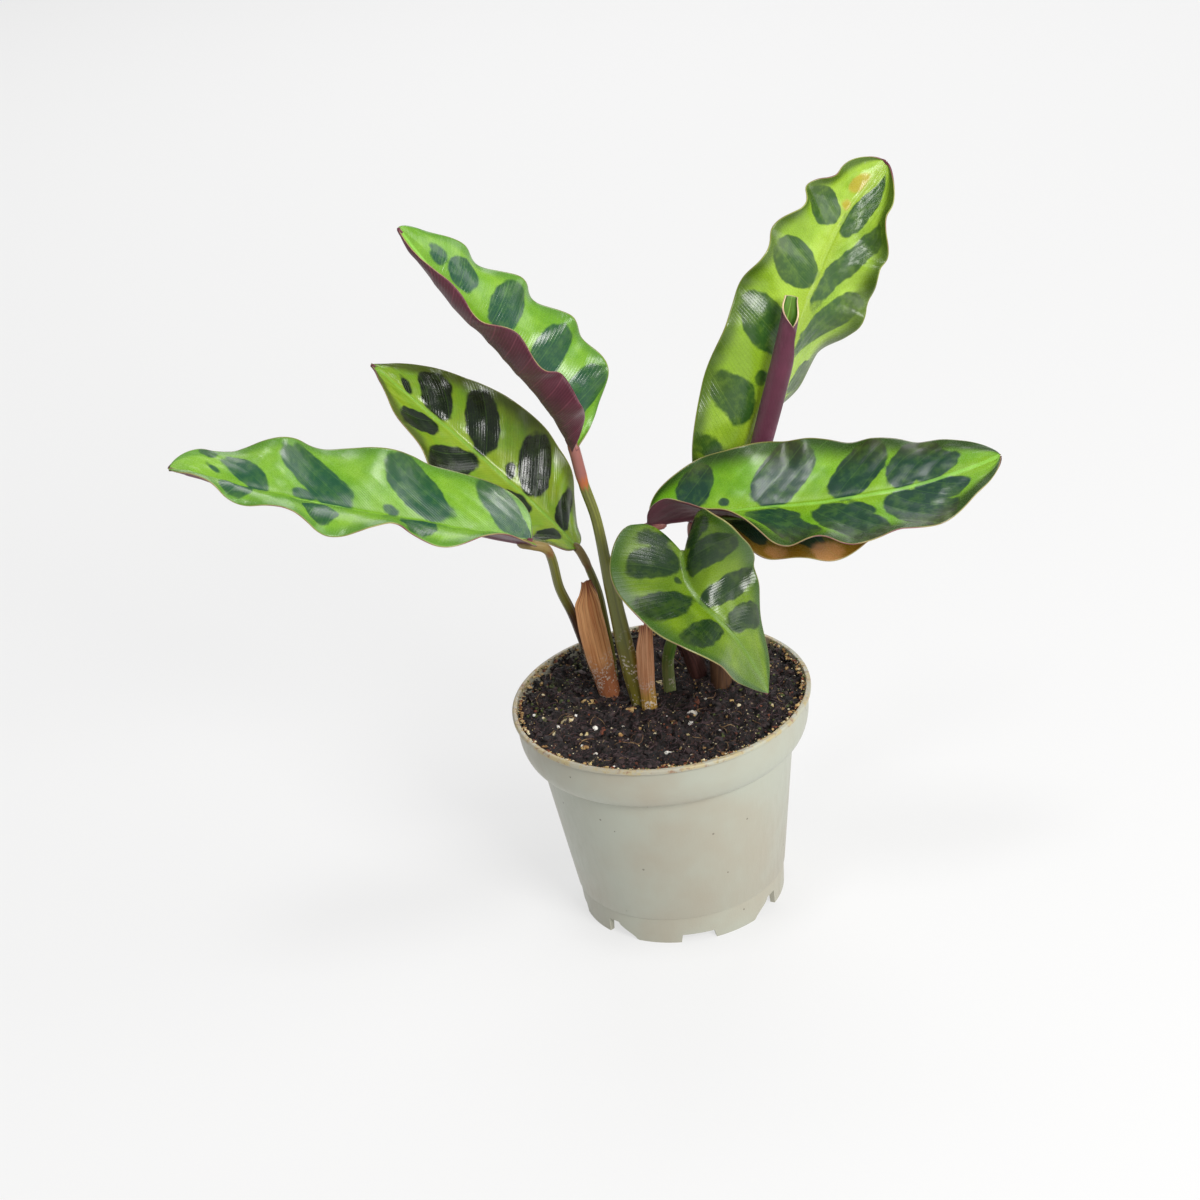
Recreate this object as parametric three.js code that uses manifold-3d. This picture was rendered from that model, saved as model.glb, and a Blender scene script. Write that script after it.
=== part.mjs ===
// A young rattlesnake plant in its nursery pot: seven open leaves and a furled one on their stalks,
// four dry sheaths, a block of peat and a tapered pot 60 mm wide. Millimetres and degrees, +Z up.
//
// The plant is laid out round the pot's axis, with z = 0 on the surface that the pot stands on.
// The whole is then moved so that the origin is the middle of the bottom of its box.

import * as THREE from "three";
import { mergeVertices } from "three/addons/utils/BufferGeometryUtils.js";
import Module from "manifold-3d";

const wasm = await Module();
wasm.setup();

// Pot: a thin tapered wall with a notched foot under a raised floor. Round its top runs a wider band,
// which is rounded in to the wall below and ends above in a small lip.
const RIM_RADIUS = 30;
const RIM_HEIGHT = 46;
const RIM_ROUNDING = 0.4;
const LIP_HEIGHT = 1;
const BAND_RADIUS = 29.2;
const BAND_HEIGHT = 10;
const BAND_ROUNDING = { width: 3, height: 6 };
const BAND_STEPS = 4;
const WALL_TOP_RADIUS = 25.7;
const LEDGE_HEIGHT = 6;
const LEDGE_RADIUS = 21.4;
const LEDGE_STEP = 0.3;
const FOOT_RADIUS = 20.7;
const WALL = 1;
const FLOOR_BOTTOM = 4.4;
const FLOOR_TOP = 5.6;
const ROUND_SEGMENTS = 48;

// Foot notches and drain holes stand at quarter turns, counted from the front towards +X.
const FOOT_TURN = 5;
const SHALLOW_NOTCH = { width: 6.6, height: 1.8 };
const DEEP_NOTCH = { footWidth: 6.6, topWidth: 2.6, height: 3.3 };
const CUTTER_REACH = 4;
const DRAIN_RADIUS = 2.6;
const DRAIN_SIDES = 16;
const DRAIN_PLACE = 15.5;

// Peat: the surface lies just under the rim, hollowed round the stalks and lumpy all over.
const GAP = 0.3;
const SOIL_LEVEL = 44.8;
const HOLLOW = { x: 1, y: 3, depth: 1.4, spread: 16 };
const SOIL_RINGS = 8;
const SOIL_EDGE_GAP = 0.6;
const SOIL_LUMPS = [
  { size: 7.5, height: 0.45, turn: 20 },
  { size: 5.2, height: 0.35, turn: 75 },
  { size: 3.9, height: 0.25, turn: 130 },
];

// Blades.
const BLADE = 0.6;
const ROW_LENGTH = 3;
const ROW_CROWDING = 0.6;
const BLADE_COLUMNS = [-1, -0.8, -0.55, -0.3, -0.09, 0, 0.09, 0.3, 0.55, 0.8, 1];
const NARROWEST = 0.7;
const KEEL = 0.6;
const KEEL_WIDTH = 0.08;

// Stalks and sheaths.
const STEM_SIDES = 8;
const STEM_STEP = 5;
const ROLL_ROW_LENGTH = 4;
const HOLE_STEP = 3;
const PULVINUS = 3.5;
const SEAT_GAP = 0.45;

// Each open leaf: its midrib is a Bezier curve of four points round the pot's axis. Half width is at
// the belly, a share of the length from the base. Twist turns the blade about the midrib, fold lifts
// each half beside it and curl bends the half further towards its margin, in degrees at the base,
// middle and tip. Ripple is the height of the waves along the margins. Right and left are as seen
// along the midrib from the base.
const LEAVES = {
  tall: {
    midrib: [[16.5, 14, 79], [45.5, 20, 129], [38.5, 30, 122.5], [56.5, 38, 137.5]],
    halfWidth: 15,
    belly: 0.2,
    baseRound: 0.4,
    tipRound: 0.5,
    twist: [90, 70, 60],
    right: { fold: [-60, -20, -15], curl: [-15, 100], waves: 4.6, phase: 0.45 },
    left: { fold: [20, 0, -5], curl: [-40, 50], waves: 5.1, phase: 0.9 },
    ripple: 1.8,
    stalk: [[12.3, 4, 36], [12.4, 4.4, 43], [12.6, 5.5, 49], [12.7, 8, 57], [14.5, 12, 68]],
    stalkRadius: [1.1, 1.05],
  },
  right: {
    midrib: [[2, 4, 81.5], [26.5, -2, 87], [43, -6, 83], [69.5, -7, 92.5]],
    halfWidth: 14.5,
    belly: 0.5,
    baseRound: 0.4,
    tipRound: 0.6,
    twist: [15, 15, 25],
    right: { fold: [60, 0, -15], curl: [20, 20], waves: 4.6, phase: 0.95 },
    left: { fold: [25, 10, 15], curl: [55, -30], waves: 4.6, phase: 0.05 },
    ripple: 1.1,
    stalk: [[8.6, 10.5, 36], [8.1, 10.4, 43], [6.9, 10, 49.5], [2.8, 8.5, 60], [0, 8, 72]],
    stalkRadius: [1, 0.95],
  },
  drooping: {
    midrib: [[7.5, -10, 81.5], [6, -19, 72.5], [14.5, -23, 77], [20.5, -19, 54]],
    halfWidth: 14.5,
    belly: 0.25,
    baseRound: 0.3,
    tipRound: 0.8,
    lobe: 6,
    baseWidth: 0.55,
    twist: [35, 20, 55],
    right: { fold: [40, 20, -5], curl: [5, 5], waves: 2.4, phase: 0.5 },
    left: { fold: [20, 10, 0], curl: [10, 5], waves: 3, phase: 0.35 },
    ripple: 0.9,
    stalk: [[1.8, 6.4, 36], [1.9, 6, 43], [2.2, 5, 50.5], [4.1, 1, 59], [5.9, -5, 71]],
    stalkRadius: [1.3, 0.95],
    stalkUnder: true,
  },
  upper_left: {
    midrib: [[-11, 6, 98.5], [-15, 8, 112.5], [-26, 6, 124.5], [-38, 3, 149]],
    halfWidth: 14.5,
    belly: 0.3,
    baseRound: 1.1,
    tipRound: 0.6,
    twist: [-45, -50, -50],
    right: { fold: [35, 30, 30], curl: [-20, -55], waves: 4.7, phase: 0.25 },
    left: { fold: [45, 35, 15], curl: [100, 70], waves: 4.2, phase: 0.7 },
    ripple: 2,
    stalk: [[-4.4, 1.2, 36], [-4.6, 1.3, 43], [-5.6, 1.8, 51], [-7.2, 3.2, 67], [-8.5, 5, 84], [-10, 6, 91]],
    stalkRadius: [1.2, 1],
  },
  broad: {
    midrib: [[-13, 12, 74.5], [-21.5, 17, 85], [-37, 22, 101], [-49, 26, 113]],
    halfWidth: 13,
    belly: 0.45,
    baseRound: 0.5,
    tipRound: 0.85,
    twist: [15, -20, 0],
    right: { fold: [5, 35, 25], curl: [0, 5], waves: 3.3, phase: 0.5 },
    left: { fold: [-5, 5, 5], curl: [0, 5], waves: 3.3, phase: 0 },
    ripple: 1.2,
    stalk: [[-9, 13, 36], [-9.2, 12.8, 43], [-9.2, 12.6, 51], [-9.6, 12.5, 58], [-10.2, 12, 65]],
    stalkRadius: [0.9, 0.75],
  },
  left: {
    midrib: [[-21.5, -1, 83], [-53.5, -9, 98.5], [-68.5, -15, 106], [-85, -18, 115.5]],
    halfWidth: 13,
    belly: 0.3,
    baseRound: 0.3,
    tipRound: 0.5,
    twist: [-10, -15, 0],
    right: { fold: [40, 35, 30], curl: [5, -15], waves: 3.3, phase: 0.15 },
    left: { fold: [40, 40, 50], curl: [-25, -70], waves: 3.5, phase: 0.95 },
    ripple: 2.4,
    stalk: [[-11.4, 10.6, 36], [-12, 10.2, 43], [-13.8, 9.2, 53], [-15.6, 7, 62.5], [-17.3, 4, 70]],
    stalkRadius: [1, 0.85],
  },
  old: {
    midrib: [[10, 8, 79.5], [19, 6, 80.5], [40.5, 6, 73], [52, 8, 77]],
    halfWidth: 11,
    belly: 0.5,
    baseRound: 0.5,
    tipRound: 0.8,
    twist: [-5, 15, 10],
    right: { fold: [15, -5, 0], curl: [5, 5], waves: 3.6, phase: 0.4 },
    left: { fold: [65, 70, 60], curl: [5, 5], waves: 4, phase: 0 },
    ripple: 1.1,
    stalk: [[12.4, 13, 36], [12.2, 12.6, 43], [11.8, 12, 49], [11.2, 11, 58], [10.4, 9.3, 70]],
    stalkRadius: [1, 0.8],
    stalkUnder: true,
  },
};

// The furled leaf and the sheaths are sheets rolled about a path. The middle of the roll faces the
// direction of facing, counted from +X towards +Y. Its radius and its half turn, in degrees, are given
// from the foot to the top, and the pitch is what the radius gains over the half turn.
const FURLED_LEAF = {
  path: [[17.7, 10.5, 69], [21.1, 12, 80.5], [25.4, 13, 92], [31.1, 14, 108.6], [35, 15, 120.5]],
  radius: [1.5, 1.55, 1.75, 1.65],
  pitch: 0.55,
  facing: 110,
  halfTurn: [205, 225, 225, 225, 225, 225, 225, 190, 45],
  columns: 16,
};
const FURLED_STALK = {
  path: [[15.2, 7.4, 36], [15.2, 8, 43], [15.6, 9.2, 56], [17.5, 10.4, 68.5]],
  radius: [1.1, 0.9],
};
const SHEATHS = {
  sheath_tall_dry: {
    path: [[-9.8, 7.2, 36], [-10.2, 6.8, 43], [-11.5, 5.6, 54], [-12.5, 5.4, 64], [-12.9, 5.6, 71]],
    radius: [1.9, 1.9, 2.1, 2.7, 2.8, 2.7, 2.1],
    facing: -60,
    halfTurn: [110, 110, 105, 105, 100, 90, 30],
    columns: 8,
  },
  sheath_front: {
    path: [[-2.4, 0, 36], [-2.7, 0.1, 43], [-2.8, 0.2, 52], [-2.2, 0.8, 63.5]],
    radius: [1.5, 1.5, 2, 2.1],
    facing: -40,
    halfTurn: [100, 100, 95, 85, 60],
    columns: 6,
  },
  sheath_red: {
    path: [[8.6, 10.5, 36], [8.1, 10.4, 43], [6.9, 10, 49.5], [5.6, 9.5, 53]],
    radius: [1.75, 1.75],
    facing: -100,
    halfTurn: [150, 150, 120, 60],
    columns: 8,
  },
  sheath_brown: {
    path: [[12.3, 4, 36], [12.4, 4.4, 43], [12.6, 5.5, 49], [12.7, 6.4, 52.5]],
    radius: [1.9, 1.9],
    facing: -80,
    halfTurn: [150, 150, 110, 50],
    columns: 8,
  },
};

const MATERIALS = {
  pot: { color: "#b4b2a3", roughness: 0.55, metalness: 0 },
  soil: { color: "#1d1719", roughness: 0.95, metalness: 0 },
  blade: { color: "#6f9e3a", roughness: 0.35, metalness: 0 },
  furled: { color: "#6e2d4b", roughness: 0.4, metalness: 0 },
  stalk: { color: "#6e7828", roughness: 0.45, metalness: 0 },
  sheath: { color: "#a8673c", roughness: 0.8, metalness: 0 },
};

const radians = THREE.MathUtils.degToRad;
const lerp = THREE.MathUtils.lerp;

function vector(point) {
  return new THREE.Vector3(...point);
}

// Value at t, from 0 to 1, of equally spaced stations joined by smooth steps.
function along(stations, t) {
  const place = THREE.MathUtils.clamp(t, 0, 1) * (stations.length - 1);
  const first = Math.min(Math.floor(place), stations.length - 2);
  return lerp(stations[first], stations[first + 1], THREE.MathUtils.smoothstep(place - first, 0, 1));
}

function mesh(name, geometry, finish) {
  const made = new THREE.Mesh(geometry, new THREE.MeshStandardMaterial(MATERIALS[finish]));
  made.name = name;
  return made;
}

// Keeps only the corners, merges those that coincide and drops the triangles that a pole flattens.
function weld(geometry) {
  geometry.deleteAttribute("normal");
  geometry.deleteAttribute("uv");
  const merged = mergeVertices(geometry, 1e-4);
  const kept = [];
  const corners = merged.index.array;
  for (let i = 0; i < corners.length; i += 3) {
    const [a, b, c] = corners.slice(i, i + 3);
    if (a !== b && b !== c && c !== a) kept.push(a, b, c);
  }
  merged.setIndex(kept);
  return merged;
}

function toSolid(geometry) {
  const welded = weld(geometry);
  return new wasm.Manifold(
    new wasm.Mesh({
      numProp: 3,
      vertProperties: new Float32Array(welded.attributes.position.array),
      triVerts: new Uint32Array(welded.index.array),
    }),
  );
}

function fromSolid(solid) {
  const cut = solid.getMesh();
  const geometry = new THREE.BufferGeometry();
  geometry.setAttribute("position", new THREE.BufferAttribute(cut.vertProperties, 3));
  geometry.setIndex(new THREE.BufferAttribute(cut.triVerts, 1));
  return geometry;
}

// A solid turned about +Z from a profile of [radius, height] points that starts and ends on the axis.
function turned(profile) {
  const points = profile.map(([radius, height]) => new THREE.Vector2(radius, height));
  return new THREE.LatheGeometry(points, ROUND_SEGMENTS).rotateX(Math.PI / 2);
}

// A closed thin sheet. place(v, column, side) gives a point of its upper (side 1) or lower (side -1)
// face. Both faces are split along the same diagonals, and a rim joins them.
function sheet(rows, columns, place) {
  const positions = [];
  for (const side of [1, -1])
    for (let row = 0; row <= rows; row += 1)
      for (let column = 0; column <= columns; column += 1)
        positions.push(...place(row / rows, column, side).toArray());

  const across = columns + 1;
  const lower = (rows + 1) * across;
  const index = [];
  for (let row = 0; row < rows; row += 1)
    for (let column = 0; column < columns; column += 1) {
      const a = row * across + column;
      const [b, c, d] = [a + 1, a + 1 + across, a + across];
      index.push(a, b, c, a, c, d);
      index.push(lower + a, lower + c, lower + b, lower + a, lower + d, lower + c);
    }

  const rim = [];
  for (let column = 0; column < columns; column += 1) rim.push(column);
  for (let row = 0; row < rows; row += 1) rim.push(row * across + columns);
  for (let column = columns; column > 0; column -= 1) rim.push(rows * across + column);
  for (let row = rows; row > 0; row -= 1) rim.push(row * across);
  rim.forEach((p, i) => {
    const q = rim[(i + 1) % rim.length];
    index.push(lower + p, lower + q, q, lower + p, q, p);
  });

  const geometry = new THREE.BufferGeometry();
  geometry.setAttribute("position", new THREE.Float32BufferAttribute(positions, 3));
  geometry.setIndex(index);
  return geometry;
}

// A round stem along a smooth path: a closed cylinder bent onto it, its radius running from foot to top.
function stem(path, footRadius, topRadius) {
  const curve = new THREE.CatmullRomCurve3(path.map(vector), false, "centripetal");
  const steps = Math.max(3, Math.round(curve.getLength() / STEM_STEP));
  const frames = curve.computeFrenetFrames(steps);
  const geometry = new THREE.CylinderGeometry(1, 1, steps, STEM_SIDES, steps);
  const corners = geometry.attributes.position;
  for (let i = 0; i < corners.count; i += 1) {
    const step = Math.round(corners.getY(i) + steps / 2);
    const radius = lerp(footRadius, topRadius, step / steps);
    const point = curve
      .getPointAt(step / steps)
      .addScaledVector(frames.binormals[step], corners.getX(i) * radius)
      .addScaledVector(frames.normals[step], corners.getZ(i) * radius);
    corners.setXYZ(i, ...point.toArray());
  }
  return weld(geometry);
}

// Width of a blade at t as a share of its belly width.
function outline(leaf, t) {
  if (t < leaf.belly) {
    const away = 1 - t / leaf.belly;
    const base = leaf.baseWidth ?? 0;
    return base + (1 - base) * (1 - away ** 2) ** leaf.baseRound;
  }
  const away = (t - leaf.belly) / (1 - leaf.belly);
  return Math.max(0, 1 - away ** 2) ** leaf.tipRound;
}

// Point, tangent, upward normal and right-hand side of a leaf's midrib at t.
function midribFrame(leaf, t) {
  const curve = new THREE.CubicBezierCurve3(...leaf.midrib.map(vector));
  const tangent = curve.getTangent(t);
  const up = new THREE.Vector3(0, 0, 1).addScaledVector(tangent, -tangent.z).normalize();
  const right = tangent.clone().cross(up);
  const turn = radians(along(leaf.twist, t));
  return {
    point: curve.getPoint(t),
    tangent,
    normal: up.clone().multiplyScalar(Math.cos(turn)).addScaledVector(right, Math.sin(turn)),
    side: right.multiplyScalar(Math.cos(turn)).addScaledVector(up, -Math.sin(turn)),
  };
}

// Middle surface of a blade: t runs from base to tip, u from the left margin (-1) to the right (1).
function bladePoint(leaf, t, u) {
  const frame = midribFrame(leaf, t);
  const half = u < 0 ? leaf.left : leaf.right;
  const out = Math.abs(u);
  const fold = radians(along(half.fold, t));
  const curl = radians(along(half.curl, t)) || 1e-4;
  const lean = fold + curl * out;
  const width = Math.max(leaf.halfWidth * outline(leaf, t), NARROWEST);
  const calm = Math.sin(Math.PI * t ** 0.8) ** 0.5 || 0;
  const wave = Math.sin(2 * Math.PI * (half.waves * t + half.phase));
  const lift = leaf.ripple * calm * out ** 2.5 * wave;
  const across = (width * (Math.sin(lean) - Math.sin(fold))) / curl - lift * Math.sin(lean);
  const above = (width * (Math.cos(fold) - Math.cos(lean))) / curl + lift * Math.cos(lean);
  const back = (leaf.lobe ?? 0) * Math.sin((Math.PI / 2) * out) * (1 - t) ** 3;
  return frame.point
    .addScaledVector(frame.side, Math.sign(u) * across)
    .addScaledVector(frame.normal, above)
    .addScaledVector(frame.tangent, -back);
}

// Upward normal of the blade, from neighbouring points of the middle surface.
function bladeNormal(leaf, t, u) {
  const near = 0.01;
  const end = 0.002;
  const [before, after] = [Math.max(t - near, end), Math.min(t + near, 1 - end)];
  const [inner, outer] = [Math.max(u - near, -1), Math.min(u + near, 1)];
  const lengthwise = bladePoint(leaf, after, u).sub(bladePoint(leaf, before, u));
  const crosswise = bladePoint(leaf, t, outer).sub(bladePoint(leaf, t, inner));
  return crosswise.cross(lengthwise).normalize();
}

// Rows stand closer together near both ends, where the outline turns fastest.
function rowPlace(v) {
  return lerp(v, 0.5 - 0.5 * Math.cos(Math.PI * v), ROW_CROWDING);
}

function blade(leaf) {
  const length = new THREE.CubicBezierCurve3(...leaf.midrib.map(vector)).getLength();
  const rows = Math.round(length / ROW_LENGTH);
  return sheet(rows, BLADE_COLUMNS.length - 1, (v, column, side) => {
    const t = rowPlace(v);
    const u = BLADE_COLUMNS[column];
    const keel = side < 0 ? KEEL * Math.exp(-((u / KEEL_WIDTH) ** 2)) * (1 - t) : 0;
    return bladePoint(leaf, t, u).addScaledVector(bladeNormal(leaf, t, u), side * (BLADE / 2 + keel));
  });
}

// Path of a leaf's stalk from its buried foot to the base of the blade. It ends in line with the
// midrib, or square to the blade's underside where the leaf hangs from the top of its stalk.
function stalkPath(leaf) {
  const { point, tangent, normal } = midribFrame(leaf, 0);
  const ends = leaf.stalkUnder
    ? [point.clone().addScaledVector(normal, -(BLADE / 2 + KEEL + 2 * SEAT_GAP)).addScaledVector(tangent, 1)]
    : [PULVINUS, SEAT_GAP].map((gap) => point.clone().addScaledVector(tangent, -gap));
  return [...leaf.stalk, ...ends.map((end) => end.toArray())];
}

// Outward direction of a roll at an angle from its facing, square to the path.
function rollDirection(facing, angle, tangent) {
  const front = new THREE.Vector3(Math.cos(radians(facing)), Math.sin(radians(facing)), 0);
  front.addScaledVector(tangent, -front.dot(tangent)).normalize();
  const side = tangent.clone().cross(front);
  return front.multiplyScalar(Math.cos(angle)).addScaledVector(side, Math.sin(angle));
}

function rolled({ path, radius, facing, halfTurn, columns, pitch = 0 }) {
  const curve = new THREE.CatmullRomCurve3(path.map(vector), false, "centripetal");
  const rows = Math.round(curve.getLength() / ROLL_ROW_LENGTH);
  return sheet(rows, columns, (v, column, side) => {
    const u = (2 * column) / columns - 1;
    const out = rollDirection(facing, radians(along(halfTurn, v)) * u, curve.getTangentAt(v));
    return curve.getPointAt(v).addScaledVector(out, along(radius, v) + pitch * u + (side * BLADE) / 2);
  });
}

function pointOnFoot(angle, radius, height) {
  const turn = radians(angle);
  return new THREE.Vector3(radius * Math.sin(turn), -radius * Math.cos(turn), height);
}

// A cutter through the foot wall at an angle, from an outline whose x runs along the wall.
function footCutter(points, angle) {
  const shape = new THREE.Shape(points.map(([x, y]) => new THREE.Vector2(x, y)));
  const geometry = new THREE.ExtrudeGeometry(shape, { depth: 2 * CUTTER_REACH, bevelEnabled: false });
  const turn = radians(angle);
  const lengthwise = new THREE.Vector3(Math.cos(turn), Math.sin(turn), 0);
  const outward = new THREE.Vector3(Math.sin(turn), -Math.cos(turn), 0);
  const place = new THREE.Matrix4().makeBasis(lengthwise, new THREE.Vector3(0, 0, 1), outward);
  place.setPosition(pointOnFoot(angle, FOOT_RADIUS - CUTTER_REACH, 0));
  return toSolid(geometry.applyMatrix4(place));
}

// Outline of a deep notch: one side upright, the other an easy S-shaped slope on the side of lean.
function deepNotch(lean) {
  const { footWidth, topWidth, height } = DEEP_NOTCH;
  const left = -footWidth / 2;
  const points = [[left, -1], [footWidth / 2, -1]];
  for (const rise of [0, 0.25, 0.5, 0.75, 1]) {
    const slope = THREE.MathUtils.smoothstep(rise, 0, 1);
    points.push([lerp(footWidth / 2, left + topWidth, slope), lerp(0, height, rise)]);
  }
  points.push([left, height]);
  return lean > 0 ? points : points.map(([x, y]) => [-x, y]).reverse();
}

function shallowNotch() {
  const { width, height } = SHALLOW_NOTCH;
  return [[-width / 2, -1], [width / 2, -1], [width / 2, height], [-width / 2, height]];
}

// Rounded lower part of the band, from the wall up, drawn in by an inset.
function bandRounding(inset) {
  const { width, height } = BAND_ROUNDING;
  const foot = RIM_HEIGHT - BAND_HEIGHT;
  return Array.from({ length: BAND_STEPS + 1 }, (_, step) => {
    const turn = (Math.PI * step) / (2 * BAND_STEPS);
    const radius = BAND_RADIUS - inset - (width - inset) * (1 - Math.sin(turn));
    return [radius, foot + inset + (height - inset) * (1 - Math.cos(turn))];
  });
}

function pot() {
  let solid = toSolid(
    turned([
      [0, FLOOR_BOTTOM],
      [FOOT_RADIUS - WALL, FLOOR_BOTTOM],
      [FOOT_RADIUS - WALL, 0],
      [FOOT_RADIUS, 0],
      [LEDGE_RADIUS - LEDGE_STEP, LEDGE_HEIGHT],
      [LEDGE_RADIUS, LEDGE_HEIGHT],
      [WALL_TOP_RADIUS, RIM_HEIGHT - BAND_HEIGHT],
      ...bandRounding(0),
      [BAND_RADIUS, RIM_HEIGHT - LIP_HEIGHT],
      [RIM_RADIUS, RIM_HEIGHT - LIP_HEIGHT],
      [RIM_RADIUS, RIM_HEIGHT - RIM_ROUNDING],
      [RIM_RADIUS - RIM_ROUNDING, RIM_HEIGHT],
      [RIM_RADIUS - WALL, RIM_HEIGHT],
      ...innerWall().reverse(),
      [0, FLOOR_TOP],
    ]),
  );
  for (let quarter = 0; quarter < 4; quarter += 1) {
    const middle = FOOT_TURN + 90 * quarter;
    const lean = quarter % 2 === 0 ? -1 : 1;
    const drain = new THREE.CylinderGeometry(DRAIN_RADIUS, DRAIN_RADIUS, CUTTER_REACH, DRAIN_SIDES).rotateX(Math.PI / 2);
    drain.translate(...pointOnFoot(middle + 45, DRAIN_PLACE, FLOOR_TOP).toArray());
    solid = solid
      .subtract(footCutter(shallowNotch(), middle))
      .subtract(footCutter(deepNotch(lean), middle + 45))
      .subtract(toSolid(drain));
  }
  return fromSolid(solid);
}

// Inside of the pot's wall, from the floor up.
function innerWall() {
  return [
    [LEDGE_RADIUS - WALL, FLOOR_TOP],
    [WALL_TOP_RADIUS - WALL, RIM_HEIGHT - BAND_HEIGHT],
    ...bandRounding(WALL),
    [RIM_RADIUS - WALL, RIM_HEIGHT - RIM_ROUNDING],
  ];
}

// Height of the peat's surface.
function soilHeight(x, y) {
  const away = Math.hypot(x - HOLLOW.x, y - HOLLOW.y) / HOLLOW.spread;
  let height = SOIL_LEVEL - HOLLOW.depth * Math.exp(-(away ** 2));
  for (const lump of SOIL_LUMPS) {
    const [cos, sin] = [Math.cos(radians(lump.turn)), Math.sin(radians(lump.turn))];
    const [p, q] = [(x * cos + y * sin) / lump.size, (y * cos - x * sin) / lump.size];
    height += lump.height * Math.sin(2 * Math.PI * p) * Math.sin(2 * Math.PI * q + lump.turn);
  }
  return height;
}

function soil(roots) {
  const [floor, ...wall] = innerWall();
  const rim = wall.pop();
  const band = wall.at(-1);
  const rise = (SOIL_LEVEL - band[1]) / (rim[1] - band[1]);
  const edge = lerp(band[0], rim[0], rise) - SOIL_EDGE_GAP;
  const surface = [];
  for (let ring = SOIL_RINGS; ring >= 0; ring -= 1) surface.push([(edge * ring) / SOIL_RINGS, SOIL_LEVEL]);
  const geometry = turned([
    [0, floor[1] + GAP],
    [floor[0] - GAP, floor[1] + GAP],
    ...wall.map(([radius, height]) => [radius - GAP, height + GAP]),
    ...surface,
  ]);
  const corners = geometry.attributes.position;
  for (let i = 0; i < corners.count; i += 1)
    if (corners.getZ(i) > SOIL_LEVEL - 0.01)
      corners.setZ(i, soilHeight(corners.getX(i), corners.getY(i)));
  return fromSolid(roots.reduce((rest, root) => rest.subtract(root), toSolid(geometry)));
}

// A plain hole round the buried end of a stem or sheath, open at the top of the peat.
function hole(path, radius) {
  const curve = new THREE.CatmullRomCurve3(path.map(vector), false, "centripetal");
  const buried = [curve.getPointAt(0).addScaledVector(curve.getTangentAt(0), -GAP)];
  for (let run = HOLE_STEP; buried.at(-1).z < SOIL_LEVEL + HOLE_STEP; run += HOLE_STEP)
    buried.push(curve.getPointAt(run / curve.getLength()));
  const clear = (radius + GAP) / Math.cos(Math.PI / STEM_SIDES);
  return toSolid(stem(buried.map((point) => point.toArray()), clear, clear));
}

const plant = new THREE.Group();
const roots = [];

for (const [name, leaf] of Object.entries(LEAVES)) {
  const path = stalkPath(leaf);
  const [foot, top] = leaf.stalkRadius;
  plant.add(mesh(`blade_${name}`, blade(leaf), "blade"));
  plant.add(mesh(`stalk_${name}`, stem(path, foot, top), "stalk"));
  roots.push(hole(path, foot));
}

plant.add(mesh("furled_leaf", rolled(FURLED_LEAF), "furled"));
plant.add(mesh("stalk_furled", stem(FURLED_STALK.path, ...FURLED_STALK.radius), "stalk"));
roots.push(hole(FURLED_STALK.path, FURLED_STALK.radius[0]));

for (const [name, sheath] of Object.entries(SHEATHS)) {
  plant.add(mesh(name, rolled(sheath), "sheath"));
  roots.push(hole(sheath.path, sheath.radius[0] + BLADE / 2));
}

plant.add(mesh("soil", soil(roots), "soil"));
plant.add(mesh("pot", pot(), "pot"));

const middle = new THREE.Box3().setFromObject(plant).getCenter(new THREE.Vector3());
plant.position.set(-middle.x, -middle.y, 0);

const model = new THREE.Group();
model.add(plant);

export default model;
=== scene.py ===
"""A young rattlesnake plant in a small nursery pot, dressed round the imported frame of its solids.

Lengths are millimetres round the pot's axis until a mesh is placed, with z = 0 on the surface that the
pot stands on. Angles are degrees. The same driving sizes shape the solids and the pieces made here.
"""

import logging
import math
import random
from dataclasses import dataclass
from enum import Enum
from typing import Callable, Optional, Union

import bmesh
import bpy
import numpy as np
from mathutils import Matrix, Vector, noise


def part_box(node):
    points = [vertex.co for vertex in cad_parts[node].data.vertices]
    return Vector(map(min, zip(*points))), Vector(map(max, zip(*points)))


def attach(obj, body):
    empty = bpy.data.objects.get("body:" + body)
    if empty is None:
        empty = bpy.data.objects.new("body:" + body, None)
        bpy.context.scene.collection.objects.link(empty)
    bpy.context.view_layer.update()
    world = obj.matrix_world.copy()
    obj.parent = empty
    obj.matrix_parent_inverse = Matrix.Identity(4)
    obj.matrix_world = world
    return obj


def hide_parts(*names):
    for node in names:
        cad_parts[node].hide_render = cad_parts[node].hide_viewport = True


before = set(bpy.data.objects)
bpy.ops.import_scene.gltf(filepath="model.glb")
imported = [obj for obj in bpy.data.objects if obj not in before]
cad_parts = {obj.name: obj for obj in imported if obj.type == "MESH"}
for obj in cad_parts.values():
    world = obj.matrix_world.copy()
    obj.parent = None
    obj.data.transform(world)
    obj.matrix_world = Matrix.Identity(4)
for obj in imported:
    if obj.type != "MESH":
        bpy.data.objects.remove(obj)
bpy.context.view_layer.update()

LOG = logging.getLogger("rattlesnake_plant")
MM = 0.001
SEED = 20

Array = np.ndarray
Point = tuple[float, float, float]
Colour = tuple[float, float, float, float]
Socket = bpy.types.NodeSocket
Input = Union[Socket, Colour, Point, float]

SEAM = 2e-7
AT_FOOT = 1e-5
RIB_STEPS = 200
ROUTE_STEPS = 40
FAR_FROM_BLOTCH = -2.0
FAR_FROM_SPOT = -6.0
WARM_WHITE: Point = (1.0, 0.99, 0.97)
WHITE: Point = (1.0, 1.0, 1.0)


def pot_axis() -> Vector:
    """Foot of the pot's axis in the frame, in metres."""
    low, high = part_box("pot")
    return Vector(((low.x + high.x) / 2, (low.y + high.y) / 2, 0))


AXIS = pot_axis()


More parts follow.
